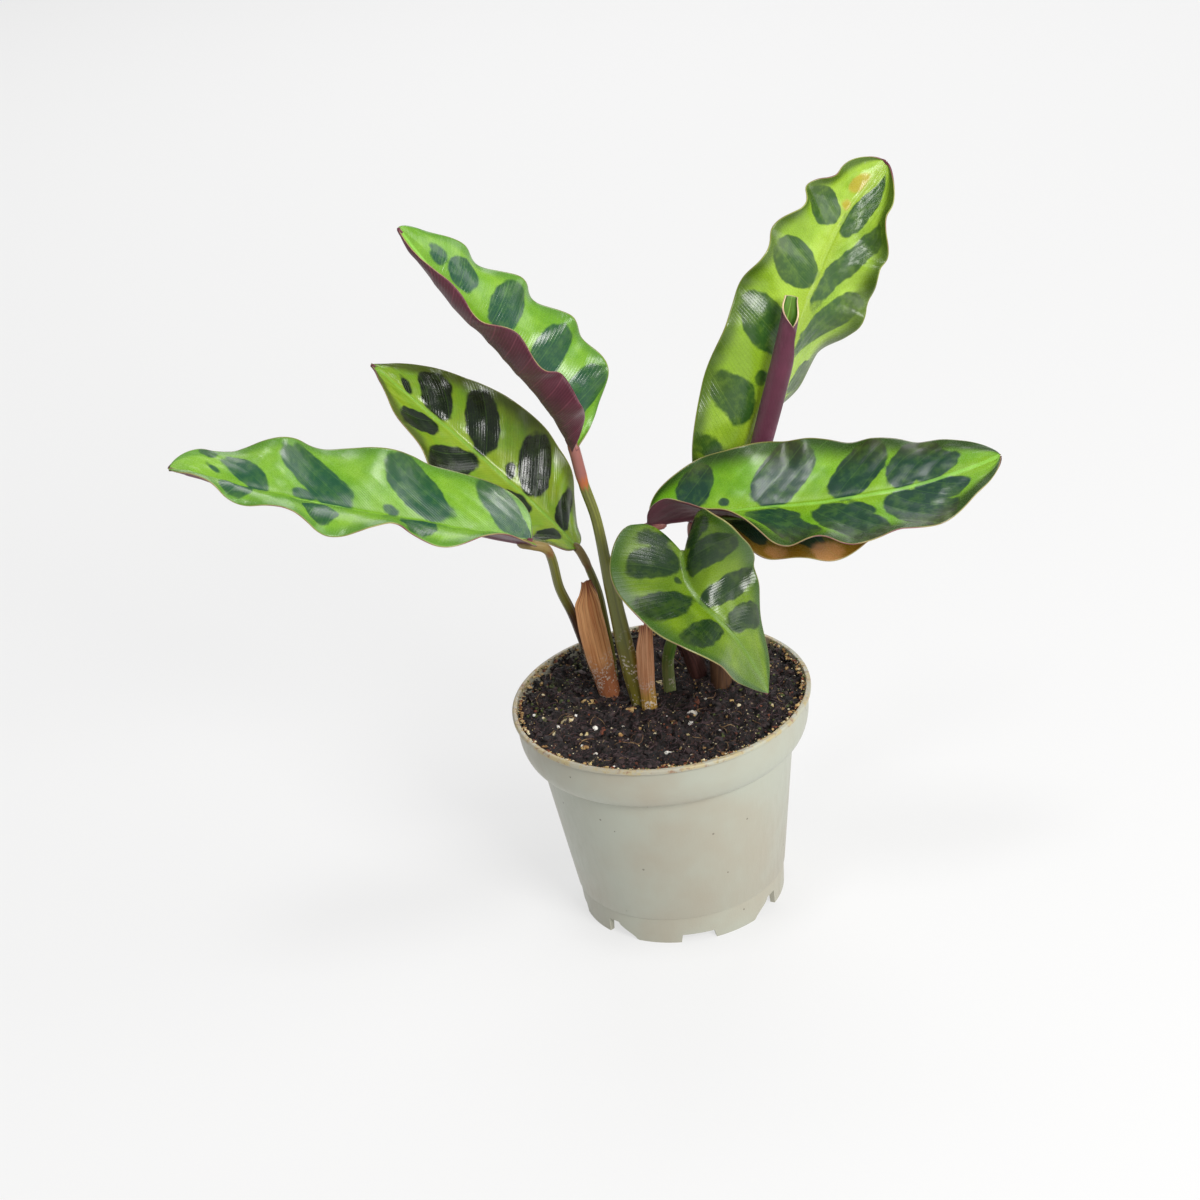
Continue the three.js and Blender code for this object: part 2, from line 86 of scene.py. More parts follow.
def paint(red: int, green: int, blue: int) -> Colour:
    """Turns a colour as seen on a screen, 0 to 255, into the linear one that shaders use.

    Args:
        red: Red as seen.
        green: Green as seen.
        blue: Blue as seen.

    Returns:
        Linear red, green and blue with an alpha of 1.
    """
    def linear(level: int) -> float:
        """One level from 0 to 255 in linear light."""
        share = level / 255
        return share / 12.92 if share <= 0.04045 else ((share + 0.055) / 1.055) ** 2.4

    return (linear(red), linear(green), linear(blue), 1.0)


def smooth(value: Array, low: float, high: float) -> Array:
    """Smooth step of value from 0 at low to 1 at high."""
    share = np.clip((np.asarray(value, float) - low) / (high - low), 0, 1)
    return share * share * (3 - 2 * share)


def along(stations: tuple[float, ...], t: Array) -> Array:
    """Reads equally spaced stations, joined by smooth steps.

    Args:
        stations: Values from the start to the end.
        t: Places from 0 to 1.

    Returns:
        The value at each place.
    """
    values = np.asarray(stations, float)
    place = np.clip(t, 0, 1) * (len(values) - 1)
    first = np.minimum(place.astype(int), len(values) - 2)
    step = smooth(place - first, 0, 1)
    return values[first] * (1 - step) + values[first + 1] * step


def unit(vectors: Array) -> Array:
    """Rows of vectors, each made one long."""
    return vectors / np.maximum(np.linalg.norm(vectors, axis=-1, keepdims=True), 1e-12)


def dot(a: Array, b: Array) -> Array:
    """Dot product of matching rows, kept as a column."""
    return np.sum(a * b, axis=-1, keepdims=True)


def wander(points: Array, size: float, seed: float = 0.0) -> Array:
    """Gentle noise, about -1 to 1, at each point.

    Args:
        points: Rows of x, y, z in millimetres.
        size: Width of a typical swell in millimetres.
        seed: Shifts the pattern, so that two uses differ.

    Returns:
        One value for each row.
    """
    shift = Vector((seed * 17.3, seed * 7.1, seed * 3.7))
    return np.array([noise.noise(Vector(p) / size + shift) for p in points])


def crumble(points: Array, size: float, seed: float = 0.0) -> Array:
    """Height of rounded crumbs, 0 between them and about 1 at the middle of each.

    Args:
        points: Rows of x, y, z in millimetres.
        size: Width of a crumb in millimetres.
        seed: Shifts the pattern.

    Returns:
        One value for each row.
    """
    shift = Vector((seed * 11.9, seed * 5.3, seed * 2.9))
    nearest = [noise.voronoi(Vector(p) / size + shift)[0][0] for p in points]
    return np.clip(1 - 1.6 * np.array(nearest), 0, 1)


class Graph:
    """Adds nodes to one material or group by short calls, and links what it is given."""

    def __init__(self, tree: bpy.types.NodeTree) -> None:
        """Works on tree, from an empty start."""
        self.tree = tree
        tree.nodes.clear()

    def feed(self, socket: Socket, value: Optional[Input]) -> None:
        """Links value to socket if it is a socket, and otherwise sets it.

        Args:
            socket: The input.
            value: A socket, a constant, or None to leave the input as it is.
        """
        if isinstance(value, Socket):
            self.tree.links.new(value, socket)
        elif value is not None:
            socket.default_value = value

    def add(
        self, kind: str, output: int | str = 0, settings: Optional[dict] = None, **inputs: Optional[Input]
    ) -> Socket:
        """Adds a node of a kind.

        Args:
            kind: The node's type without its ShaderNode prefix.
            output: Which output to return.
            settings: Properties of the node.
            **inputs: Values or sockets by input name, with _ for a space, or by number as n0, n1.

        Returns:
            The chosen output socket.
        """
        node = self.tree.nodes.new("ShaderNode" + kind)
        for name, value in (settings or {}).items():
            setattr(node, name, value)
        for name, value in inputs.items():
            number = name[1:]
            key = int(number) if name[0] == "n" and number.isdigit() else name.replace("_", " ")
            self.feed(node.inputs[key], value)
        return node.outputs[output]

    def math(self, operation: str, a: Input, b: Optional[Input] = None) -> Socket:
        """One step of arithmetic on a and b."""
        return self.add("Math", settings={"operation": operation}, n0=a, n1=b)

    def plus(self, a: Input, b: Input) -> Socket:
        """Sum of a and b."""
        return self.math("ADD", a, b)

    def minus(self, a: Input, b: Input) -> Socket:
        """What a is more than b."""
        return self.math("SUBTRACT", a, b)

    def times(self, a: Input, b: Input) -> Socket:
        """Product of a and b."""
        return self.math("MULTIPLY", a, b)

    def mix(self, factor: Input, a: Input, b: Input) -> Socket:
        """Colour from a at factor 0 to b at 1."""
        return self.add("Mix", 2, {"data_type": "RGBA"}, n0=factor, n6=a, n7=b)

    def ramp(self, value: Input, low: float, high: float, start: float = 0.0, end: float = 1.0) -> Socket:
        """Smooth step of value: start at low and end at high."""
        settings = {"interpolation_type": "SMOOTHSTEP"}
        return self.add("MapRange", settings=settings, n0=value, n1=low, n2=high, n3=start, n4=end)

    def noise(self, vector: Input, scale: float, detail: float = 3.0, roughness: float = 0.5) -> Socket:
        """Noise from 0 to 1."""
        return self.add("TexNoise", Vector=vector, Scale=scale, Detail=detail, Roughness=roughness)

    def attribute(self, name: str) -> Socket:
        """A number that the mesh carries at its points."""
        return self.add("Attribute", "Fac", {"attribute_name": name})

    def place(self) -> Socket:
        """Object coordinates, in metres."""
        return self.add("TexCoord", "Object")

    def uv(self) -> tuple[Socket, Socket]:
        """The two numbers of the piece's own UV map."""
        split = self.add("SeparateXYZ", Vector=self.add("UVMap", settings={"uv_map": "surface"})).node
        return split.outputs[0], split.outputs[1]

    def group(self, tree: bpy.types.NodeTree, **inputs: Input) -> bpy.types.bpy_prop_collection:
        """Places a shared group, feeds its inputs and returns its outputs.

        Args:
            tree: The group.
            **inputs: Values or sockets by input name, with _ for a space.

        Returns:
            Its outputs.
        """
        node = self.tree.nodes.new("ShaderNodeGroup")
        node.node_tree = tree
        for name, value in inputs.items():
            self.feed(node.inputs[name.replace("_", " ")], value)
        return node.outputs

    def surface(self, constants: dict[str, float], **inputs: Input) -> None:
        """Ends a material in one Principled shader.

        Args:
            constants: Plain numbers for the shader's own sockets.
            **inputs: What varies over the surface, by input name.
        """
        shader = self.add("BsdfPrincipled", **inputs).node
        for name, value in constants.items():
            shader.inputs[name].default_value = value
        output = self.tree.nodes.new("ShaderNodeOutputMaterial")
        self.tree.links.new(shader.outputs[0], output.inputs["Surface"])

    def bump(self, height: Input, distance: float, strength: float = 1.0) -> Socket:
        """Normal of a relief whose height runs from 0 to 1, distance in millimetres."""
        return self.add("Bump", Height=height, Distance=distance * MM, Strength=strength)

    def uneven(self, value: Input, texture: Input, amount: float) -> Socket:
        """Value, shifted up and down by a texture that runs from 0 to 1."""
        return self.plus(value, self.times(self.minus(texture, 0.5), amount))


def shared_group(
    name: str, inputs: dict[str, str], outputs: dict[str, str], build: Callable[[Graph, dict], dict]
) -> bpy.types.NodeTree:
    """Makes a shader group once and returns it from then on.

    Args:
        name: The group's name.
        inputs: Kind of each input, Float or Vector, by name.
        outputs: Kind of each output by name.
        build: Takes the graph and the input sockets, and returns the sockets to put out.

    Returns:
        The group's node tree.
    """
    if name in bpy.data.node_groups:
        return bpy.data.node_groups[name]
    tree = bpy.data.node_groups.new(name, "ShaderNodeTree")
    for key, kind in inputs.items():
        tree.interface.new_socket(key, in_out="INPUT", socket_type="NodeSocket" + kind)
    for key, kind in outputs.items():
        tree.interface.new_socket(key, in_out="OUTPUT", socket_type="NodeSocket" + kind)
    graph = Graph(tree)
    start = tree.nodes.new("NodeGroupInput")
    end = tree.nodes.new("NodeGroupOutput")
    for key, socket in build(graph, {s.name: s for s in start.outputs if s.name}).items():
        tree.links.new(socket, end.inputs[key])
    return tree


def vein_group() -> bpy.types.NodeTree:
    """Side veins: Vein counts them along the blade, so that each whole number lies on one.

    Returns:
        The group.
    """
    def build(graph: Graph, given: dict) -> dict:
        """Adds the group's nodes between what it is given and what it returns."""
        main = graph.math("PINGPONG", given["Vein"], 0.5)
        fine = graph.math("PINGPONG", graph.times(given["Vein"], 7.0), 0.5)
        line = graph.ramp(main, 0.05, 0.0)
        hair = graph.ramp(fine, 0.22, 0.0)
        return {"Line": line, "Hair": hair}

    return shared_group("Side veins", {"Vein": "Float"}, {"Line": "Float", "Hair": "Float"}, build)


def cell_group() -> bpy.types.NodeTree:
    """Fine grain of the leaf's skin, for relief and for a slight change of tone.

    Returns:
        The group.
    """
    def build(graph: Graph, given: dict) -> dict:
        """Adds the group's nodes between what it is given and what it returns."""
        cells = graph.add("TexVoronoi", Vector=given["Vector"], Scale=given["Scale"])
        fine = graph.add("TexNoise", Vector=given["Vector"], Scale=given["Scale"], Detail=2.0)
        height = graph.plus(graph.times(cells, 0.7), graph.times(fine, 0.5))
        return {"Height": height, "Tone": fine}

    return shared_group(
        "Skin cells", {"Vector": "Vector", "Scale": "Float"}, {"Height": "Float", "Tone": "Float"}, build
    )


def ragged_group() -> bpy.types.NodeTree:
    """Mask with an uneven edge: 1 where Value, with noise added, is well above 0.

    Returns:
        The group.
    """
    def build(graph: Graph, given: dict) -> dict:
        """Adds the group's nodes between what it is given and what it returns."""
        rough = graph.add("TexNoise", Vector=given["Vector"], Scale=given["Scale"], Detail=4.0)
        shift = graph.times(graph.minus(rough, 0.5), given["Raggedness"])
        value = graph.plus(given["Value"], shift)
        edge = graph.math("DIVIDE", value, given["Softness"])
        return {"Mask": graph.ramp(edge, -0.5, 0.5)}

    inputs = {"Vector": "Vector"} | dict.fromkeys(("Value", "Scale", "Raggedness", "Softness"), "Float")
    return shared_group("Ragged mask", inputs, {"Mask": "Float"}, build)


def fibre_group() -> bpy.types.NodeTree:
    """Long streaks along a stem or dry sheath: Around and Along are the piece's UV.

    Returns:
        The group.
    """
    def build(graph: Graph, given: dict) -> dict:
        """Adds the group's nodes between what it is given and what it returns."""
        vector = graph.add("CombineXYZ", X=given["Around"], Y=given["Along"])
        stretched = graph.add("Mapping", Vector=vector, Scale=(22.0, 1.6, 1.0))
        coarse = graph.noise(stretched, 1.0, 3.0, 0.6)
        fine = graph.noise(stretched, 3.1, 4.0, 0.65)
        return {"Coarse": coarse, "Fine": fine}

    return shared_group(
        "Long fibres", {"Around": "Float", "Along": "Float"}, {"Coarse": "Float", "Fine": "Float"}, build
    )


def speck_group() -> bpy.types.NodeTree:
    """Scattered specks: a mask of small round spots, a share of which show.

    Returns:
        The group.
    """
    def build(graph: Graph, given: dict) -> dict:
        """Adds the group's nodes between what it is given and what it returns."""
        distance = graph.add("TexVoronoi", "Distance", Vector=given["Vector"], Scale=given["Scale"])
        near = graph.math("LESS_THAN", distance, given["Size"])
        pick = graph.add("SeparateColor", Color=distance.node.outputs["Color"])
        shown = graph.math("LESS_THAN", pick, given["Share"])
        return {"Mask": graph.times(near, shown)}

    inputs = {"Vector": "Vector", "Scale": "Float", "Size": "Float", "Share": "Float"}
    return shared_group("Specks", inputs, {"Mask": "Float"}, build)


def ragged_mask(
    graph: Graph, value: Input, place: Socket, scale: float, raggedness: float, softness: float
) -> Socket:
    """Mask of a value's positive part, with the ragged edge of the shared group."""
    sizes = {"Scale": scale, "Raggedness": raggedness, "Softness": softness}
    return graph.group(ragged_group(), Value=value, Vector=place, **sizes)["Mask"]


def speck_mask(graph: Graph, place: Socket, scale: float, size: float, share: float) -> Socket:
    """Mask of the shared group's specks."""
    return graph.group(speck_group(), Vector=place, Scale=scale, Size=size, Share=share)["Mask"]


def crusted(graph: Graph, colour: Socket, crust: Colour, share: float, patchy: float, fade: Socket) -> Socket:
    """Lays a pale crust of fine specks over a colour.

    Args:
        graph: The material's graph.
        colour: What the crust lies on.
        crust: Its own colour.
        share: Share of the specks that show.
        patchy: Where patches of crust begin, on a noise from 0 to 1.
        fade: How much of it shows at each place.

    Returns:
        The crusted colour.
    """
    place = graph.place()
    patches = graph.ramp(graph.noise(place, 420.0, 3.0, 0.6), patchy, patchy + 0.1)
    specks = graph.times(speck_mask(graph, place, 2600.0, 0.6, share), patches)
    return graph.mix(graph.times(specks, fade), colour, crust)


def new_material(name: str) -> tuple[bpy.types.Material, Graph]:
    """An empty material of that name and the graph that fills it."""
    material = bpy.data.materials.new(name)
    material.use_nodes = True
    return material, Graph(material.node_tree)


class Gloss(Enum):
    """Roughness of a plant's skin."""

    WET = 0.17
    WAXY = 0.23
    SATIN = 0.34
    DRY = 0.7


@dataclass(frozen=True)
class LeafFinish:
    """Colours of one leaf's upper face, its maroon underside and its thin rim."""

    base: Colour = paint(102, 156, 24)
    pale: Colour = paint(128, 176, 36)
    inner: Colour = paint(128, 170, 26)
    blotch: Colour = paint(24, 62, 46)
    blotch_far: Colour = paint(50, 58, 30)
    margin: Colour = paint(58, 92, 28)
    rib: Colour = paint(146, 206, 82)
    spot: Colour = paint(176, 142, 34)
    rim: Colour = paint(154, 146, 86)
    under: Colour = paint(88, 34, 50)
    under_vein: Colour = paint(122, 60, 74)
    gloss: Gloss = Gloss.WAXY
    margin_band: float = 0.2
    # Share of pale mottling painted into the blotches as their sheen.
    painted_sheen: float = 0.12

    def upper(self, name: str) -> bpy.types.Material:
        """Upper face: base, blotches with painted sheen, margin, midrib, side veins and spots.

        Args:
            name: The material's name.

        Returns:
            The material.
        """
        material, graph = new_material(name)
        place = graph.place()
        across_uv, along_uv = graph.uv()
        across = graph.math("ABSOLUTE", graph.minus(graph.times(across_uv, 2.0), 1.0))
        veins = graph.group(vein_group(), Vein=graph.attribute("vein"))
        cells = graph.group(cell_group(), Vector=place, Scale=4200.0)
        cloud = graph.noise(place, 110.0, 4.0, 0.6)
        mottle = graph.noise(place, 520.0, 3.0, 0.6)
        uneven = graph.minus(cloud, 0.5)

        colour = graph.mix(graph.ramp(cloud, 0.35, 0.65), self.base, self.pale)
        colour = graph.mix(graph.ramp(across, 0.35, 0.0, 0.0, 0.7), colour, self.inner)
        colour = graph.mix(graph.times(veins["Hair"], 0.14), colour, self.margin)
        edge = graph.plus(across, graph.times(uneven, 0.3))
        edge = graph.plus(edge, graph.ramp(along_uv, 0.6, 1.0, 0.0, 0.8 * self.margin_band))
        shade = graph.ramp(edge, 1.0 - 1.7 * self.margin_band, 1.0 - 0.3 * self.margin_band, 0.0, 0.92)
        colour = graph.mix(shade, colour, self.margin)

        mask = ragged_mask(graph, graph.attribute("blotch"), place, 560.0, 0.8, 0.5)
        far = graph.ramp(graph.plus(across, graph.times(uneven, 0.7)), 0.4, 1.0)
        dark = graph.mix(far, self.blotch, self.blotch_far)
        # Pale mottling inside the blotches is painted sheen, standing for the glossy streaks on them.
        dark = graph.mix(graph.ramp(mottle, 0.42, 0.7, 0.0, self.painted_sheen), dark, self.pale)
        dark = graph.mix(graph.times(veins["Hair"], 0.1), dark, self.margin)
        colour = graph.mix(mask, colour, dark)

        spots = ragged_mask(graph, graph.attribute("spot"), place, 420.0, 2.6, 1.6)
        colour = graph.mix(graph.times(spots, 0.65), colour, self.spot)
        colour = graph.mix(graph.times(veins["Line"], 0.08), colour, self.rib)
        from_rib = graph.attribute("from_rib")
        colour = graph.mix(graph.ramp(from_rib, 0.5, 0.2, 0.0, 0.65), colour, self.rib)
        colour = graph.mix(graph.ramp(across, 0.98, 0.996, 0.0, 0.6), colour, self.rim)
        tone = graph.plus(cells["Tone"], graph.times(mottle, 0.6))
        tone = graph.ramp(tone, 0.4, 1.2, 0.88, 1.1)
        colour = graph.add("HueSaturation", Color=colour, Value=tone)

        height = graph.times(cells["Height"], 0.5)
        height = graph.plus(height, graph.times(veins["Hair"], 0.5))
        wax = graph.plus(graph.times(cells["Height"], 0.14), self.gloss.value - 0.04)
        roughness = graph.plus(graph.times(mask, -0.05), wax)
        graph.surface(
            {"Specular IOR Level": 0.5}, Base_Color=colour, Roughness=roughness,
            Normal=graph.bump(height, 0.05, 0.5),
        )
        return material

    def underside(self, name: str) -> bpy.types.Material:
        """Maroon underside with paler, finely raised veins.

        Args:
            name: The material's name.

        Returns:
            The material.
        """
        material, graph = new_material(name)
        place = graph.place()
        veins = graph.group(vein_group(), Vein=graph.attribute("vein"))
        cells = graph.group(cell_group(), Vector=place, Scale=3600.0)
        cloud = graph.noise(place, 120.0, 4.0, 0.6)
        deep = tuple(0.6 * c for c in self.under[:3]) + (1.0,)
        colour = graph.mix(graph.ramp(cloud, 0.25, 0.75), self.under, deep)
        colour = graph.mix(graph.times(veins["Hair"], 0.25), colour, self.under_vein)
        colour = graph.mix(graph.times(veins["Line"], 0.55), colour, self.under_vein)
        rib = graph.ramp(graph.attribute("from_rib"), 0.8, 0.3)
        colour = graph.mix(graph.times(rib, 0.6), colour, self.under_vein)
        height = graph.times(cells["Height"], 0.5)
        height = graph.plus(height, graph.times(veins["Hair"], 0.6))
        graph.surface(
            {"Specular IOR Level": 0.4, "Sheen Weight": 0.15, "Sheen Roughness": 0.4}, Base_Color=colour,
            Roughness=graph.ramp(cells["Tone"], 0.2, 0.8, 0.42, 0.56),
            Normal=graph.bump(height, 0.06, 0.8),
        )
        return material

    def edge(self, name: str) -> bpy.types.Material:
        """The thin pale rim, reddish in places.

        Args:
            name: The material's name.

        Returns:
            The material.
        """
        material, graph = new_material(name)
        patch = graph.ramp(graph.noise(graph.place(), 160.0, 3.0), 0.4, 0.65)
        colour = graph.mix(patch, self.rim, self.under_vein)
        graph.surface({"Roughness": 0.45}, Base_Color=colour)
        return material


@dataclass(frozen=True)
class StalkFinish:
    """Colours of a stalk from the soil up, with the pulvinus below the blade."""

    foot: Colour = paint(126, 118, 44)
    body: Colour = paint(112, 116, 44)
    shade: Colour = paint(70, 70, 28)
    ring: Colour = paint(168, 92, 48)
    pulvinus: Colour = paint(146, 92, 84)
    crust: Colour = paint(226, 216, 200)
    foot_share: float = 0.3
    pulvinus_share: float = 0.86

    def material(self, name: str) -> bpy.types.Material:
        """Ribbed skin whose colour changes along the stalk.

        Args:
            name: The material's name.

        Returns:
            The material.
        """
        material, graph = new_material(name)
        around, up = graph.uv()
        fibres = graph.group(fibre_group(), Around=around, Along=up)
        cells = graph.group(cell_group(), Vector=graph.place(), Scale=3000.0)
        uneven = graph.uneven(up, fibres["Coarse"], 0.08)
        low = graph.ramp(uneven, self.foot_share + 0.06, self.foot_share - 0.06)
        colour = graph.mix(low, self.body, self.foot)
        colour = graph.mix(graph.ramp(fibres["Coarse"], 0.4, 0.75, 0.0, 0.7), colour, self.shade)
        ring = self.pulvinus_share
        colour = graph.mix(graph.ramp(uneven, ring - 0.02, ring), colour, self.ring)
        colour = graph.mix(graph.ramp(uneven, ring + 0.01, ring + 0.035), colour, self.pulvinus)
        colour = crusted(graph, colour, self.crust, 0.4, 0.46, graph.ramp(uneven, 0.4, 0.24, 0.0, 0.75))
        height = graph.plus(fibres["Fine"], graph.times(cells["Height"], 0.4))
        graph.surface(
            {"Specular IOR Level": 0.5}, Base_Color=colour,
            Roughness=graph.ramp(fibres["Fine"], 0.3, 0.7, 0.3, 0.46),
            Normal=graph.bump(height, 0.08, 0.7),
        )
        return material


@dataclass(frozen=True)
class SheathFinish:
    """Dry, papery sheath: streaked along its fibres, stained and crusted at its foot."""

    light: Colour = paint(242, 184, 124)
    streak: Colour = paint(190, 112, 62)
    stain: Colour = paint(104, 42, 32)
    foot: Colour = paint(196, 128, 96)
    crust: Colour = paint(236, 222, 206)
    foot_share: float = 0.3
    stain_side: float = 0.8
    gloss: Gloss = Gloss.DRY

    def material(self, name: str) -> bpy.types.Material:
        """Streaks, a stained edge and a differently coloured foot.

        Args:
            name: The material's name.

        Returns:
            The material.
        """
        material, graph = new_material(name)
        around, up = graph.uv()
        fibres = graph.group(fibre_group(), Around=around, Along=up)
        colour = graph.mix(graph.ramp(fibres["Coarse"], 0.3, 0.74), self.light, self.streak)
        colour = graph.mix(graph.ramp(fibres["Fine"], 0.52, 0.8, 0.0, 0.7), colour, self.stain)
        side = graph.uneven(around, fibres["Coarse"], 0.3)
        stained = graph.ramp(side, self.stain_side, self.stain_side + 0.12, 0.0, 0.85)
        colour = graph.mix(stained, colour, self.stain)
        level = graph.uneven(up, fibres["Coarse"], 0.3)
        low = graph.ramp(level, self.foot_share, self.foot_share - 0.14, 0.0, 0.8)
        colour = graph.mix(low, colour, self.foot)
        fade = graph.ramp(level, self.foot_share + 0.1, 0.7 * self.foot_share, 0.0, 0.8)
        colour = crusted(graph, colour, self.crust, 0.5, 0.43, fade)
        colour = graph.mix(graph.ramp(level, 0.9, 1.0, 0.0, 0.7), colour, self.stain)
        height = graph.plus(fibres["Fine"], graph.times(fibres["Coarse"], 0.8))
        graph.surface(
            {"Specular IOR Level": 0.35}, Base_Color=colour,
            Roughness=graph.ramp(fibres["Fine"], 0.3, 0.7, self.gloss.value - 0.08, self.gloss.value + 0.1),
            Normal=graph.bump(height, 0.12, 0.9),
        )
        return material


@dataclass(frozen=True)
class PeatFinish:
    """Moist peat: near black, with purplish-brown and rusty fibres through it, and painted shade in the pits
    of its crumbs.
    """

    dark: Colour = paint(14, 11, 12)
    brown: Colour = paint(66, 50, 52)
    rust: Colour = paint(104, 62, 44)
    pale: Colour = paint(150, 128, 104)
    algae: Colour = paint(58, 66, 26)
    algae_amount: float = 0.5

    def material(self, name: str) -> bpy.types.Material:
        """Colours mixed at three sizes, with a rough relief.

        Args:
            name: The material's name.

        Returns:
            The material.
        """
        material, graph = new_material(name)
        place = graph.place()
        broad = graph.noise(place, 140.0, 3.0)
        crumbs = graph.noise(place, 900.0, 5.0, 0.75)
        threads = graph.add("TexNoise", Vector=place, Scale=1500.0, Detail=3.0, Distortion=2.5)
        # Brown follows the tops of the crumb relief and near black follows its pits: partly the peat's own
        # colours, partly painted shade in the pits.
        colour = graph.mix(graph.ramp(crumbs, 0.49, 0.66), self.dark, self.brown)
        colour = graph.mix(graph.ramp(threads, 0.6, 0.68, 0.0, 0.8), colour, self.rust)
        algae = graph.times(graph.ramp(broad, 0.56, 0.66), graph.ramp(crumbs, 0.5, 0.6))
        colour = graph.mix(graph.times(algae, self.algae_amount), colour, self.algae)
        specks = speck_mask(graph, place, 1300.0, 0.3, 0.08)
        colour = graph.mix(graph.times(specks, 0.8), colour, self.pale)
        graph.surface(
            {"Specular IOR Level": 0.5}, Base_Color=colour,
            Roughness=graph.ramp(crumbs, 0.35, 0.65, 0.48, 0.9), Normal=graph.bump(crumbs, 0.7),
        )
        return material


@dataclass(frozen=True)
class GrainFinish:
    """Small loose grains of one kind: two colours in patches, and how rough they are."""

    one: Colour
    other: Colour
    roughness: float = 0.8
    patch: float = 700.0

    def material(self, name: str) -> bpy.types.Material:
        """The two colours in patches, with a fine relief.

        Args:
            name: The material's name.

        Returns:
            The material.
        """
        material, graph = new_material(name)
        place = graph.place()
        patches = graph.ramp(graph.noise(place, self.patch, 3.0), 0.4, 0.62)
        colour = graph.mix(patches, self.one, self.other)
        height = graph.noise(place, 3600.0, 3.0, 0.6)
        graph.surface({"Roughness": self.roughness}, Base_Color=colour, Normal=graph.bump(height, 0.1, 0.8))
        return material


@dataclass(frozen=True)
class PotFinish:
    """Satin sage-grey plastic, stained round its rim and lightly specked and scuffed."""

    body: Colour = paint(170, 173, 159)
    warm: Colour = paint(166, 160, 143)
    speck: Colour = paint(96, 90, 78)
    crust: Colour = paint(176, 158, 108)
    rust: Colour = paint(132, 84, 48)
    stained_above: float = 45.1
    roughness: float = 0.42

    def material(self, name: str) -> bpy.types.Material:
        """Body colour with soft clouds, specks, scuffs and a stained rim.

        Args:
            name: The material's name.

        Returns:
            The material.
        """
        material, graph = new_material(name)
        place = graph.place()
        height = graph.add("SeparateXYZ", 2, Vector=place)
        cloud = graph.noise(place, 38.0, 4.0, 0.6)
        colour = graph.mix(graph.ramp(cloud, 0.35, 0.7), self.body, self.warm)
        specks = speck_mask(graph, place, 420.0, 0.1, 0.12)
        colour = graph.mix(graph.times(specks, 0.7), colour, self.speck)
        level = graph.times(graph.minus(height, self.stained_above * MM), 1 / MM)
        stain = ragged_mask(graph, level, place, 260.0, 2.6, 0.7)
        rusty = graph.ramp(graph.noise(place, 700.0, 4.0, 0.7), 0.52, 0.62)
        patches = graph.ramp(graph.noise(place, 300.0, 4.0, 0.7), 0.44, 0.58, 0.1, 0.75)
        stain = graph.times(stain, patches)
        colour = graph.mix(stain, colour, graph.mix(rusty, self.crust, self.rust))
        scuff = graph.noise(graph.add("Mapping", Vector=place, Scale=(1.0, 1.0, 0.2)), 900.0, 4.0, 0.7)
        fine = graph.noise(place, 2600.0, 2.0)
        graph.surface(
            {"Specular IOR Level": 0.5}, Base_Color=colour,
            Roughness=graph.ramp(scuff, 0.3, 0.8, self.roughness - 0.06, self.roughness + 0.12),
            Normal=graph.bump(graph.plus(fine, scuff), 0.03, 0.6),
        )
        return material


@dataclass(frozen=True)
class PlainFinish:
    """A plain painted surface that glows a little, for the studio floor."""

    colour: Colour
    roughness: float
    glow: float = 0.0

    def material(self, name: str) -> bpy.types.Material:
        """The one colour at the one roughness.

        Args:
            name: The material's name.

        Returns:
            The material.
        """
        material, graph = new_material(name)
        graph.surface(
            {
                "Roughness": self.roughness, "Base Color": self.colour, "Specular IOR Level": 0.0,
                "Emission Color": (*WHITE, 1.0), "Emission Strength": self.glow,
            }
        )
        return material


class Sheet:
    """A grid of faces that is warped into a blade, tube or skin. Its points are named by u and t."""

    def __init__(self, name: str, columns: int, rows: int) -> None:
        """Makes the flat grid: u runs from -1 to 1 over the columns and t from 0 to 1 over the rows.

        Args:
            name: The mesh's name.
            columns: Faces across.
            rows: Faces along.
        """
        grid = bmesh.new()
        bmesh.ops.create_grid(grid, x_segments=columns, y_segments=rows, size=1.0)
        self.mesh = bpy.data.meshes.new(name)
        grid.to_mesh(self.mesh)
        grid.free()
        flat = np.empty(len(self.mesh.vertices) * 3)
        self.mesh.vertices.foreach_get("co", flat)
        flat = flat.reshape(-1, 3)
        self.u = np.clip(flat[:, 0], -1, 1)
        self.t = np.clip((flat[:, 1] + 1) / 2, 0, 1)
        self.map_surface()

    def map_surface(self) -> None:
        """Writes the UV map, with u and t each from 0 to 1."""
        corners = np.empty(len(self.mesh.loops), int)
        self.mesh.loops.foreach_get("vertex_index", corners)
        layer = self.mesh.uv_layers.new(name="surface")
        values = np.stack([(self.u[corners] + 1) / 2, self.t[corners]], axis=1)
        layer.data.foreach_set("uv", values.ravel())

    def carry(self, name: str, values: Array) -> None:
        """Stores one number at each point, for the materials."""
        attribute = self.mesh.attributes.new(name, "FLOAT", "POINT")
        attribute.data.foreach_set("value", np.asarray(values, np.float32))

    def warp(self, points: Array) -> None:
        """Moves every point to its place, given in millimetres round the pot's axis."""
        placed = points * MM + np.array(AXIS)
        self.mesh.vertices.foreach_set("co", placed.ravel())
        self.mesh.update()

    def close(self, caps: bool = True) -> None:
        """Merges the seam of a tube and can close its ends.

        Args:
            caps: Whether the ends are filled.
        """
        work = bmesh.new()
        work.from_mesh(self.mesh)
        bmesh.ops.remove_doubles(work, verts=work.verts, dist=SEAM)
        if caps:
            bmesh.ops.holes_fill(work, edges=[e for e in work.edges if e.is_boundary])
        bmesh.ops.recalc_face_normals(work, faces=work.faces)
        work.to_mesh(self.mesh)
        work.free()


